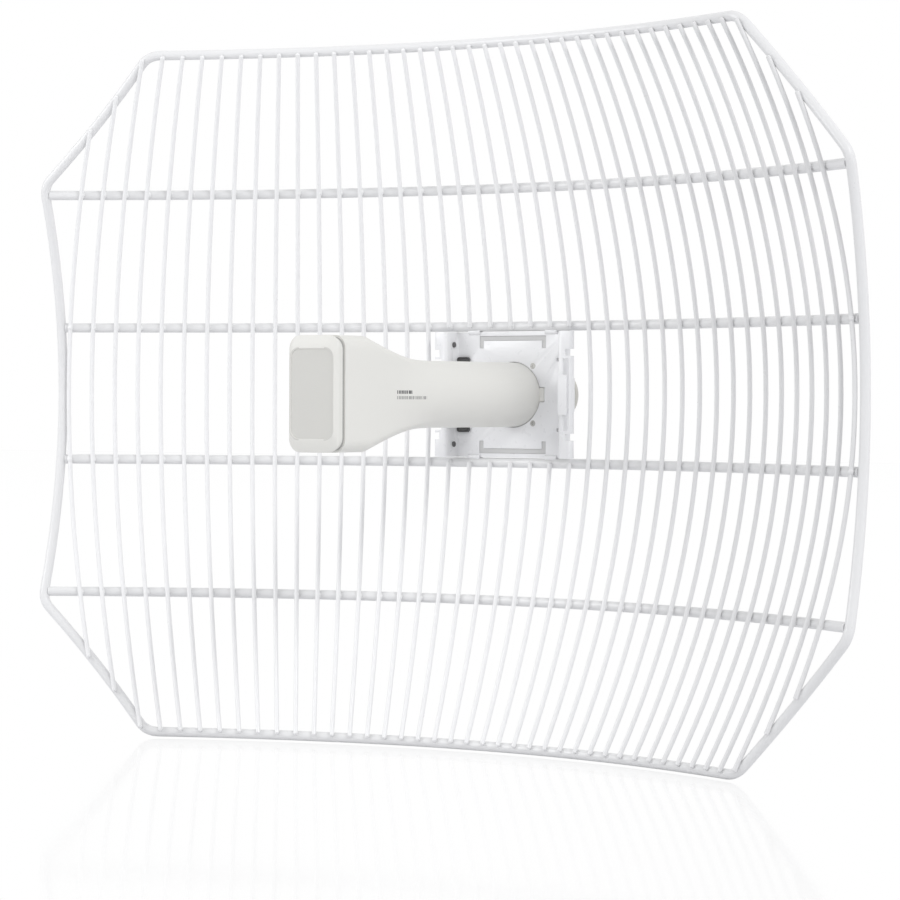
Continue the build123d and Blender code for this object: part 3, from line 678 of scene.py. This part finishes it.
def make_tube_form(name, thinner, front, back):
    """The housing's outside, or the same shape thinner all round for its hollow."""
    width, height = HEAD_WIDTH - 2 * thinner, HEAD_HEIGHT - 2 * thinner
    piece = add_outline(name, width, height, HEAD_CORNER - thinner, front)
    now = step_to(BOX_END_Y, width, height, (front, width, height))
    done = 0.0
    for i in range(1, FLARE_STEPS + 1):
        y = BOX_END_Y + (FLARE_END_Y - BOX_END_Y) * i / FLARE_STEPS
        width, height, roundness = flare_at(y)
        extrude_along(y - now[0])
        if roundness > done:
            bpy.ops.transform.tosphere(value=(roundness - done) / (1 - done), center_override=(0, y, 0))
            done = roundness
        now = (y,) + outline_size(piece)
        now = resize_at(y, width - 2 * thinner, height - 2 * thinner, now)
    for y, radius in back:
        now = step_to(y, 2 * radius, 2 * radius, now)
    bpy.ops.object.mode_set(mode="OBJECT")
    face_outward(piece)
    return piece


EASE = 0.6 * MM
housing = make_tube_form("feed_shell", 0.0, housing_low[1], [
    (SHOULDER_Y - EASE, TUBE_RADIUS), (SHOULDER_Y, TUBE_RADIUS - EASE), (SHOULDER_Y + 0.1 * MM, REAR_RADIUS),
    (housing_high[1] - EASE, REAR_RADIUS), (housing_high[1], REAR_RADIUS - EASE)])
hollow = make_tube_form("feed_hollow", WALL, housing_low[1] - WALL, [
    (SHOULDER_Y - WALL, TUBE_RADIUS - WALL), (SHOULDER_Y - WALL / 2, REAR_RADIUS - WALL),
    (housing_high[1] + WALL, REAR_RADIUS - WALL)])
combine(housing, [hollow])
print("housing from", round(housing_low[1], 4), "to", round(housing_high[1], 4))

# %% [markdown]
# A small key on the tube's side slides in the plate's keyway, so the feed
# can only go in one way up. A groove round the tube is where the spring clip
# holds it. Both are simple shapes, merged into the tube and cut from it.

# %% Key and groove
KEY_HALF, KEY_ROUND = 4.5 * MM, 0.5 * MM
KEY_FRONT_Y = -1.5 * MM
GROOVE_Y, GROOVE_HALF, GROOVE_DEPTH = 4.0 * MM, 0.8 * MM, 1.0 * MM


def add_groove_tool():
    """A ring made by spinning a small square round the tube."""
    start_clean()
    depth = GROOVE_DEPTH + 2 * MM
    middle_x = TUBE_RADIUS - GROOVE_DEPTH + depth / 2
    bpy.ops.mesh.primitive_plane_add(size=1.0, location=(middle_x, GROOVE_Y, 0))
    ring = bpy.context.object
    ring.scale = (depth, 2 * GROOVE_HALF, 1)
    settle(ring, "groove_tool")
    wake(ring, "EDIT")
    bpy.ops.mesh.delete(type="ONLY_FACE")
    bpy.ops.mesh.select_all(action="SELECT")
    bpy.ops.mesh.spin(steps=96, angle=2 * math.pi, center=(0, 0, 0), axis=(0, 1, 0))
    bpy.ops.object.mode_set(mode="OBJECT")
    face_outward(ring)
    return ring


combine(housing, [add_groove_tool()])
key = add_block("key_tool", (TUBE_RADIUS - WALL / 2, KEY_FRONT_Y, -KEY_HALF),
                (housing_high[0], SHOULDER_Y, KEY_HALF))
wake(key, "EDIT")
pick(key, "edges", lambda edge: all(v.co.x > housing_high[0] - 1e-5 for v in edge.verts))
bpy.ops.mesh.bevel(offset=KEY_ROUND, segments=3, affect="EDGES")
bpy.ops.object.mode_set(mode="OBJECT")
combine(housing, [key], "UNION")
smooth(housing, 30)
place_piece(housing, "feed", "housing_plastic", "feed_housing", "printed_plastic")

# %% [markdown]
# ## The front cover
#
# The cover plugs the head. Seen from the side it is a stack: a bevelled
# face, a full-size edge strip, a narrower neck that makes a shadow groove,
# and a plug that goes inside the housing. So it is one outline again,
# extruded back and scaled at every level. Two insets and a small move sink
# a panel into the face, and the long edges get a fine bevel.

# %% Front cover
COVER_BEVEL, COVER_EDGE, GROOVE_DEEP = 2.5 * MM, 1.7 * MM, 1.2 * MM
PANEL_WIDTH, PANEL_HEIGHT = 33.0 * MM, 56.6 * MM
PANEL_BORDER, PANEL_SUNK, PANEL_SLOPE = 0.9 * MM, 0.4 * MM, 0.15 * MM
GASKET, COVER_WALL = 1.2 * MM, 1.8 * MM
LIGHT_FIT, STEP = 0.05 * MM, 0.01 * MM
EDGE_ROUND, COVER_ROUND = 0.25 * MM, 0.4 * MM
TOUCH = 0.01 * MM
BIG_FACE = 0.0001  # square metres, more than any face but the flat ones


def make_cover():
    front, back = cover_low[1], cover_high[1]
    edge_start = front + COVER_BEVEL
    edge_end = edge_start + COVER_EDGE
    neck_end = housing_low[1] - GASKET
    cover = add_outline("cover_shell", HEAD_WIDTH, HEAD_HEIGHT, HEAD_CORNER, edge_start)
    size = (HEAD_WIDTH, HEAD_HEIGHT)
    now = (edge_start,) + size
    plug = WALL + LIGHT_FIT
    for y, less in ((edge_end - EDGE_ROUND, 0), (edge_end, EDGE_ROUND), (edge_end + STEP, GROOVE_DEEP),
                    (neck_end, GROOVE_DEEP), (neck_end + STEP, plug),
                    (back - EDGE_ROUND, plug), (back, plug + EDGE_ROUND)):
        now = step_to(y, size[0] - 2 * less, size[1] - 2 * less, now)
    bpy.ops.mesh.inset(thickness=COVER_WALL - EDGE_ROUND)
    extrude_along(edge_start + COVER_WALL - back)
    pick(cover, "faces", lambda face: abs(face.calc_center_median().y - edge_start) < TOUCH
         and abs(face.normal.y) > 0.9 and face.calc_area() > BIG_FACE)
    extrude_along(front - edge_start)
    shrink = (PANEL_WIDTH / HEAD_WIDTH, 1, PANEL_HEIGHT / HEAD_HEIGHT)
    bpy.ops.transform.resize(value=shrink, center_override=(0, front, 0))
    bpy.ops.mesh.inset(thickness=PANEL_BORDER)
    bpy.ops.mesh.inset(thickness=PANEL_SLOPE)
    bpy.ops.transform.translate(value=(0, PANEL_SUNK, 0))
    pick(cover, "edges", lambda edge: all(abs(vert.co.y - edge_start) < TOUCH / 10 for vert in edge.verts)
         and len(edge.link_faces) == 2 and all(face.calc_area() < BIG_FACE for face in edge.link_faces))
    bpy.ops.mesh.bevel(offset=COVER_ROUND, segments=3, affect="EDGES")
    bpy.ops.object.mode_set(mode="OBJECT")
    face_outward(cover)
    smooth(cover, 20)
    return cover


cover = make_cover()
place_piece(cover, "feed", "housing_plastic", "front_cover")
# The sunk panel gets a darker copy of the housing plastic. This is painted shade, because the panel's face
# is turned away from the light.
cover.data.materials.append(finish["panel_painted_shade"])  # the sunk panel is a little darker
shaded_panel_faces = [face for face in cover.data.polygons if face.center.y < cover_low[1] + PANEL_SUNK + TOUCH
               and face.normal.y < -0.5 and abs(face.center.z) < PANEL_HEIGHT / 2 - PANEL_BORDER / 2]
for face in shaded_panel_faces:
    face.material_index = 1
print("panel faces:", len(shaded_panel_faces))

# %% [markdown]
# ## The rear cap
#
# The cap closes the rear end of the tube, and a short spigot holds it there.
# It is round all the way, so half its outline is drawn by extruding one point
# from place to place and spun round the tube's axis, which makes the wall,
# the dome and the groove for the seal in one go.

# %% Rear cap
cap_low, cap_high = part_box("port_cap")
RUNNING_GAP = 0.35 * MM
CAP_BASE_Y = housing_high[1] + RUNNING_GAP
CAP_WALL, CAP_EASE = 2.0 * MM, 0.4 * MM
DOME_DEPTH = cap_high[1] - CAP_BASE_Y
SPIGOT_RADIUS, SPIGOT_EASE = REAR_RADIUS - WALL - RUNNING_GAP, 0.5 * MM
SEAL_Y, SEAL_HALF, SEAL_DEPTH = housing_high[1] - 5 * MM, 1.0 * MM, 0.8 * MM
GROMMET_RADIUS = 4.0 * MM


def dome_points(radius, depth, steps, back=False):
    """Points along a quarter of an ellipse, from its rim to its top."""
    turns = [math.pi / 2 * i / steps for i in range(steps + 1)]
    points = [(radius * math.cos(t), CAP_BASE_Y + depth * math.sin(t)) for t in turns]
    return points[::-1] if back else points


def spin_outline(name, points, steps=96):
    """Draw half an outline and spin it round the tube's axis."""
    piece = draw_line(name, [(x, y, 0) for x, y in points])
    bpy.ops.mesh.spin(steps=steps, angle=2 * math.pi, center=(0, 0, 0), axis=(0, 1, 0))
    bpy.ops.object.mode_set(mode="OBJECT")
    face_outward(piece)
    return piece


def make_cap():
    inner = SPIGOT_RADIUS - CAP_WALL
    spigot_end = cap_low[1]
    outline = [(0.0, CAP_BASE_Y + DOME_DEPTH - CAP_WALL)]
    outline += dome_points(inner, DOME_DEPTH - CAP_WALL, 12, back=True)[1:]
    outline += [(inner, spigot_end), (SPIGOT_RADIUS - SPIGOT_EASE, spigot_end),
                (SPIGOT_RADIUS, spigot_end + SPIGOT_EASE),
                (SPIGOT_RADIUS, SEAL_Y - SEAL_HALF), (SPIGOT_RADIUS - SEAL_DEPTH, SEAL_Y - SEAL_HALF),
                (SPIGOT_RADIUS - SEAL_DEPTH, SEAL_Y + SEAL_HALF), (SPIGOT_RADIUS, SEAL_Y + SEAL_HALF),
                (SPIGOT_RADIUS, CAP_BASE_Y), (REAR_RADIUS - CAP_EASE, CAP_BASE_Y)]
    outline += dome_points(REAR_RADIUS, DOME_DEPTH, 20)[1:-1]
    outline += [(0.0, CAP_BASE_Y + DOME_DEPTH)]
    cap = spin_outline("cap_dome", outline)
    grommet_low, grommet_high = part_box("cable_grommet")
    middle = (Vector(grommet_low) + Vector(grommet_high)) / 2
    hole = add_rod("grommet_hole", GROMMET_RADIUS, (0, cap_low[1] + 12 * MM, middle.z),
                   (0, cap_high[1] + 5 * MM, middle.z), 48)
    combine(cap, [hole])
    smooth(cap, 25)
    return cap


cap = make_cap()
place_piece(cap, "port_cap", "cap_plastic", "port_cap")

# %% [markdown]
# ## The mounting plate
#
# The plate is one piece of sheet steel, folded into a shallow tray with a
# wing on each side. Its section is drawn first, as a line of extruded points
# that goes along one face of the sheet and back along the other, with a
# radius at every fold. The section is then extruded to the plate's height.

# %% Folded sheet
plate_low, plate_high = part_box("mounting_plate")
SHEET = 1.5 * MM
FOLD_RADIUS = 1.4 * MM
WALL_X = 44.05 * MM
LIP_Y = -11.0 * MM


def folded_line(points, radius, aside, steps=6):
    """A line with round folds, moved sideways by half the gauge to give one face of the sheet."""
    line = []
    ways = [(Vector(b) - Vector(a)).normalized() for a, b in zip(points, points[1:])]
    side = Vector((-ways[0].y, ways[0].x))
    line.append(Vector(points[0]) + side * aside)
    for corner, before, after in zip(points[1:], ways, ways[1:]):
        left = before.x * after.y - before.y * after.x > 0
        bend = radius - aside if left else radius + aside
        centre = Vector(corner) + (after - before) * radius
        for i in range(steps + 1):
            turn = math.pi / 2 * i / steps
            line.append(centre - after * bend * math.cos(turn) + before * bend * math.sin(turn))
    side = Vector((-ways[-1].y, ways[-1].x))
    line.append(Vector(points[-1]) + side * aside)
    return line


def make_sheet():
    edge_x = plate_high[0] - SHEET / 2
    wing_y = plate_low[1] + SHEET / 2
    half = [(WALL_X, -SHEET / 2), (WALL_X, wing_y), (edge_x, wing_y), (edge_x, LIP_Y)]
    points = [(-x, y) for x, y in reversed(half)] + half
    loop = folded_line(points, FOLD_RADIUS, SHEET / 2) + folded_line(points, FOLD_RADIUS, -SHEET / 2)[::-1]
    sheet = draw_line("plate_sheet", [(p.x, p.y, plate_low[2]) for p in loop], closed=True)
    bpy.ops.mesh.extrude_region_move(TRANSFORM_OT_translate={"value": (0, 0, plate_high[2] - plate_low[2])})
    bpy.ops.object.mode_set(mode="OBJECT")
    face_outward(sheet)
    return sheet


sheet = make_sheet()
print("sheet:", [round(v, 4) for v in sheet.dimensions])

# %% [markdown]
# The cut-outs are punched: a round hole with a keyway for the tube, two
# U-shaped slots for the socket's ribs, slots for the pole strap, windows and
# notches in the wings. Each punch is a bar as wide as its hole, and a
# boolean takes it away. A small bevel then breaks the sharp edges, because
# powder coat never sits on a knife edge.

# %% Punched openings
PUNCH_REACH, OTHER_REACH = 4 * MM, 4.1 * MM  # two reaches, so that crossing punches share no face
HOLE_RADIUS = TUBE_RADIUS + RUNNING_GAP
KEYWAY_TOP, KEYWAY_HALF = 24.85 * MM, 4.85 * MM
U_HALF, U_Z, U_WIDTH, U_LEG = 26 * MM, 37.2 * MM, 3.2 * MM, 6.6 * MM
SLOT_X, SLOT_Z, SLOT_LENGTH, SLOT_WIDTH = 38.2 * MM, 23 * MM, 8.6 * MM, 2.8 * MM
WINDOW_HALF, WINDOW_IN = 23.5 * MM, 47.5 * MM
NOTCH_Z, NOTCH_SIZE = 27.5 * MM, 4.5 * MM
SIDE_HOLE_Z, SIDE_HOLE_RADIUS, SIDE_HOLE_Y = 33 * MM, 1.2 * MM, -6.75 * MM
SCREW_X, SCREW_Z, SCREW_HOLE = 15.81 * MM, 18.85 * MM, 2.05 * MM
WING_REACH = (plate_low[1] - MM, LIP_Y + MM)
EDGE_BREAK = 0.16 * MM


def punch(low_x, high_x, low_z, high_z, front=-PUNCH_REACH, back=PUNCH_REACH):
    """A rectangular punch."""
    return add_block("punch", (low_x, front, low_z), (high_x, back, high_z))


def add_slot_bar(name, x, z, half_width, front, back):
    """A bar with round ends. Its straight stretch is as long as the strap slot's."""
    straight = (SLOT_LENGTH - SLOT_WIDTH) / 2
    bar = add_block(name, (x - straight - half_width, front, z - half_width),
                    (x + straight + half_width, back, z + half_width))
    wake(bar, "EDIT")
    pick(bar, "edges", lambda edge: abs(edge.verts[0].co.y - edge.verts[1].co.y) > 0.9 * (back - front))
    bpy.ops.mesh.bevel(offset=half_width * 0.999, segments=8, affect="EDGES")
    bpy.ops.object.mode_set(mode="OBJECT")
    return bar


def round_punch(radius, x, z, sides):
    """A round punch that goes through the sheet."""
    return add_rod("punch", radius, (x, -PUNCH_REACH, z), (x, PUNCH_REACH, z), sides)


def side_punches(side, sign):
    """Punches of one quarter of the plate: a leg of the U, strap slot, screw, notch and wall hole."""
    leg_x = sorted((side * (U_HALF - U_WIDTH), side * U_HALF))
    leg_z = sorted((sign * U_Z, sign * (U_Z - U_LEG)))
    notch_x = sorted((side * (plate_high[0] - NOTCH_SIZE), side * (plate_high[0] + MM)))
    notch_z = (sign * NOTCH_Z - NOTCH_SIZE / 2, sign * NOTCH_Z + NOTCH_SIZE / 2)
    wall_hole = [(side * (WALL_X + reach), SIDE_HOLE_Y, sign * SIDE_HOLE_Z) for reach in (-3 * MM, 3 * MM)]
    return [punch(*leg_x, *leg_z, -OTHER_REACH, OTHER_REACH),
            add_slot_bar("punch", side * SLOT_X, sign * SLOT_Z, SLOT_WIDTH / 2, -PUNCH_REACH, PUNCH_REACH),
            round_punch(SCREW_HOLE, side * SCREW_X, sign * SCREW_Z, 24),
            punch(*notch_x, *notch_z, *WING_REACH),
            add_rod("punch", SIDE_HOLE_RADIUS, *wall_hole, 20)]


def plate_punches():
    tools = [round_punch(HOLE_RADIUS, 0, 0, 96),
             punch(HOLE_RADIUS * 0.9, KEYWAY_TOP, -KEYWAY_HALF, KEYWAY_HALF, -OTHER_REACH, OTHER_REACH)]
    for sign in (1, -1):
        bar = sorted((sign * (U_Z - U_WIDTH / 2), sign * (U_Z + U_WIDTH / 2)))
        tools.append(punch(-U_HALF, U_HALF, *bar))
        for side in (1, -1):
            tools += side_punches(side, sign)
    tools.append(punch(WINDOW_IN, plate_high[0] - SHEET, -WINDOW_HALF, WINDOW_HALF,
                       WING_REACH[0], plate_low[1] + SHEET + MM))
    tools.append(punch(plate_low[0] - MM, -WINDOW_IN, -WINDOW_HALF, WINDOW_HALF, *WING_REACH))
    return tools


combine(sheet, plate_punches())
apply_modifier(sheet, "BEVEL", width=EDGE_BREAK, segments=2, limit_method="ANGLE",
               angle_limit=math.radians(50), use_clamp_overlap=True)
smooth(sheet, 30)
place_piece(sheet, "reflector", "coated_sheet", "mounting_plate")

# %% [markdown]
# ## Dark plugs
#
# The strap slots and wall holes on the left are closed with small dark
# plugs. Their dark tone is partly painted shade: it stands in for the
# shaded dark seen through these slots. Each is a short bar, wider than its
# hole, with a low crown in front and a stem extruded into the hole.

# %% Plugs
PLUG_PLAY, PLUG_HEAD, PLUG_PROUD, PLUG_SEAT = 0.12 * MM, 0.5 * MM, 0.6 * MM, 0.02 * MM
BUTTON_RIM, BUTTON_HEIGHT = 0.6 * MM, 0.8 * MM
HEAD_RIM, HEAD_CROWN = 0.3 * MM, 0.15 * MM
CROWN_RIM, BUTTON_CROWN = 0.4 * MM, 0.3 * MM
PLUG_STEM = SHEET * 0.9


def crown_and_stem(plug, front, rim, crown, hole_rim, stem):
    """Crown the front face of a plug's head, and extrude its stem from the back face."""
    wake(plug, "EDIT")
    pick(plug, "faces", lambda face: face.normal.dot(front) > 0.9)
    bpy.ops.mesh.inset(thickness=rim)
    bpy.ops.transform.translate(value=front * crown)
    pick(plug, "faces", lambda face: face.normal.dot(front) < -0.9)
    bpy.ops.mesh.inset(thickness=hole_rim)
    bpy.ops.mesh.extrude_region_move(TRANSFORM_OT_translate={"value": front * -stem})
    bpy.ops.object.mode_set(mode="OBJECT")
    return plug


def make_plugs():
    plugs = []
    for sign in (1, -1):
        head = add_slot_bar("plug", -SLOT_X, sign * SLOT_Z, SLOT_WIDTH / 2 + PLUG_HEAD,
                            -SHEET - PLUG_PROUD, -SHEET - PLUG_SEAT)
        plugs.append(crown_and_stem(head, Vector((0, -1, 0)), HEAD_RIM, HEAD_CROWN,
                                    PLUG_HEAD + PLUG_PLAY, PLUG_STEM))
        start = Vector((-WALL_X + SHEET / 2 + PLUG_SEAT, SIDE_HOLE_Y, sign * SIDE_HOLE_Z))
        end = start + Vector((BUTTON_HEIGHT, 0, 0))
        button = add_rod("plug", SIDE_HOLE_RADIUS + BUTTON_RIM, start, end, 24)
        plugs.append(crown_and_stem(button, Vector((1, 0, 0)), CROWN_RIM, BUTTON_CROWN,
                                    BUTTON_RIM + PLUG_PLAY, PLUG_STEM))
    plugs = join_all(plugs, "shade_hole_plugs")
    face_outward(plugs)
    smooth(plugs, 40)
    return plugs


plugs = make_plugs()
# The plugs' dark rubber is partly painted shade for the slots.
place_piece(plugs, "reflector", "seal_rubber", look="plug_shade_rubber")

# %% [markdown]
# ## Weld nuggets
#
# Every wire is resistance-welded to the rods where they cross. The weld
# squeezes out a small bead in the corner between the two, and the powder
# coat rounds it off. To find the crossings, a copy of the wires is cut with
# a plane at each rod: what is left are small rings, and the middle of a ring
# is a crossing. One low bead is modelled and copied to all of them.

# %% Weld nuggets
NUGGET_RADIUS = 2.1 * MM
NUGGET_STRETCH = (1.15, 0.95, 1.3)
NUGGET_SINK = 0.45  # share of the way from the wire's middle to the rod's


def ring_middles(name, z):
    """Cut a copy of a CAD node at z and return the middle of every ring that is left."""
    start_clean()
    node = nodes[name]
    copy = bpy.data.objects.new("crossing", node.data.copy())
    copy.matrix_world = node.matrix_world
    bpy.context.collection.objects.link(copy)
    wake(copy, "EDIT")
    bpy.ops.mesh.remove_doubles(threshold=0.000005)
    bpy.ops.mesh.select_all(action="SELECT")
    bpy.ops.mesh.bisect(plane_co=(0, 0, z), plane_no=(0, 0, 1), clear_inner=True, clear_outer=True)
    mesh = bmesh.from_edit_mesh(copy.data)
    middles, seen = [], set()
    for start in mesh.verts:
        if start in seen:
            continue
        ring, open_ends = [], [start]
        seen.add(start)
        while open_ends:
            vert = open_ends.pop()
            ring.append(vert.co.copy())
            for edge in vert.link_edges:
                other = edge.other_vert(vert)
                if other not in seen:
                    seen.add(other)
                    open_ends.append(other)
        middles.append(sum(ring, Vector()) / len(ring))
    bpy.ops.object.mode_set(mode="OBJECT")
    bpy.data.objects.remove(copy)
    return middles


def rod_back(name, x):
    """How far back the rod's middle lies at x."""
    near = sorted(nodes[name].data.vertices, key=lambda vert: abs(vert.co.x - x))[:24]
    return sum(vert.co.y for vert in near) / len(near)


def make_nuggets():
    start_clean()
    bpy.ops.mesh.primitive_ico_sphere_add(subdivisions=1, radius=NUGGET_RADIUS)
    bead = bpy.context.object
    bead.scale = NUGGET_STRETCH
    settle(bead, "weld_nugget")
    copies = []
    for rod in ("rib_top", "rib_upper", "rib_lower", "rib_bottom"):
        low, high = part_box(rod)
        z = (low[2] + high[2]) / 2
        for group in ("wires_left", "wires_upper", "wires_lower", "wires_right"):
            group_low, group_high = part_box(group)
            if not group_low[2] < z < group_high[2]:
                continue
            for middle in ring_middles(group, z):
                copy = bpy.data.objects.new("nugget", bead.data.copy())
                copy.location = (middle.x, middle.y + (rod_back(rod, middle.x) - middle.y) * NUGGET_SINK, z)
                bpy.context.collection.objects.link(copy)
                copies.append(copy)
    bpy.data.objects.remove(bead)
    nuggets = join_all(copies, "weld_nuggets")
    settle(nuggets, "weld_nuggets")
    smooth(nuggets, 80)
    return nuggets


nuggets = make_nuggets()
place_piece(nuggets, "reflector", "coated_wire")

# %% [markdown]
# ## Floor, sky and lamps
#
# A product shot like this stands on white. A lit paper sweep could do it,
# but then every view needs its own paper. A white sky all round and a floor
# that the camera sees as white, with a faint polish for the reflection, look
# the same from every side. What lights the object is another matter: the
# sky that the object sees is softer than the one that the camera sees.

# %% Floor
FLOOR_GAP = 0.0008
FLOOR_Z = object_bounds()[0][2] - FLOOR_GAP
FLOOR_HALF = 9.0


def add_floor():
    bpy.ops.object.select_all(action="DESELECT")
    bpy.ops.mesh.primitive_plane_add(size=2 * FLOOR_HALF, location=(0, 0, FLOOR_Z))
    floor = bpy.context.object
    floor.name = "studio_floor"
    material = bpy.data.materials.new("studio_floor")
    material.use_nodes = True
    tree = material.node_tree
    tree.nodes.clear()
    rays = tree.nodes.new("ShaderNodeLightPath")
    place = tree.nodes.new("ShaderNodeTexCoord").outputs["Object"]
    haze = add_node(tree, "ShaderNodeTexNoise", Vector=place, Scale=40.0, Detail=2.0).outputs["Fac"]
    white = add_node(tree, "ShaderNodeEmission", Color=(1, 1, 1, 1), Strength=1.0)
    polish = add_node(tree, "ShaderNodeBsdfGlossy", Color=(1, 1, 1, 1),
                      Roughness=maths(tree, "ADD", 0.06, maths(tree, "MULTIPLY", haze, 0.03)))
    seen = add_node(tree, "ShaderNodeMixShader", Fac=0.16, i1=white.outputs[0], i2=polish.outputs[0])
    dull = add_node(tree, "ShaderNodeBsdfDiffuse", Color=(0.82, 0.82, 0.83, 1))
    whole = add_node(tree, "ShaderNodeMixShader", Fac=rays.outputs["Is Camera Ray"],
                     i1=dull.outputs[0], i2=seen.outputs[0])
    result = tree.nodes.new("ShaderNodeOutputMaterial")
    tree.links.new(whole.outputs[0], result.inputs["Surface"])
    floor.data.materials.append(material)
    return floor


add_floor()
print("floor at", round(FLOOR_Z, 4))

# %% [markdown]
# Lamps alone would leave hard black sides, and a sky alone looks flat. So a
# soft sky that is brighter above and to the right gives most of the light,
# and two round lamps add a gentle direction. Their size keeps shadows soft.

# %% Sky and lamps
SKY_EVEN, SKY_RISE, SKY_LEAN = 0.79, 0.12, 0.20
LAMP_SIZE = 0.9


def make_sky():
    world = bpy.data.worlds.new("studio_sky")
    bpy.context.scene.world = world
    world.use_nodes = True
    tree = world.node_tree
    tree.nodes.clear()
    rays = tree.nodes.new("ShaderNodeLightPath")
    way = tree.nodes.new("ShaderNodeTexCoord").outputs["Generated"]
    height = add_node(tree, "ShaderNodeSeparateXYZ", Vector=way).outputs["Z"]
    right = add_node(tree, "ShaderNodeSeparateXYZ", Vector=way).outputs["X"]
    lean = maths(tree, "ADD", maths(tree, "MULTIPLY", height, SKY_RISE),
                 maths(tree, "MULTIPLY", right, SKY_LEAN))
    bright = maths(tree, "ADD", lean, SKY_EVEN)
    soft = add_node(tree, "ShaderNodeBackground", Color=(0.985, 0.99, 1.0, 1.0), Strength=bright)
    plain = add_node(tree, "ShaderNodeBackground", Color=(1, 1, 1, 1), Strength=1.0)
    shiny = maths(tree, "MAXIMUM", rays.outputs["Is Camera Ray"], rays.outputs["Is Glossy Ray"])
    whole = add_node(tree, "ShaderNodeMixShader", Fac=shiny, i1=soft.outputs[0], i2=plain.outputs[0])
    result = tree.nodes.new("ShaderNodeOutputWorld")
    tree.links.new(whole.outputs[0], result.inputs["Surface"])


def add_lamp(name, place, aim, size, power):
    data = bpy.data.lights.new(name, "AREA")
    data.shape = "DISK"
    data.size = size
    data.energy = power
    lamp = bpy.data.objects.new(name, data)
    lamp.location = place
    lamp.rotation_euler = (Vector(place) - Vector(aim)).to_track_quat("Z", "Y").to_euler()
    bpy.context.collection.objects.link(lamp)
    return lamp


make_sky()
add_lamp("key_lamp", (2.1, -1.0, 1.7), (0, -0.1, 0), LAMP_SIZE, 24.0)
add_lamp("fill_lamp", (-1.3, -1.2, 0.7), (-0.2, 0, 0), LAMP_SIZE, 9.0)
bpy.context.scene.view_settings.view_transform = "Standard"
bpy.context.scene.view_settings.look = "None"
print("lamps: key and fill")
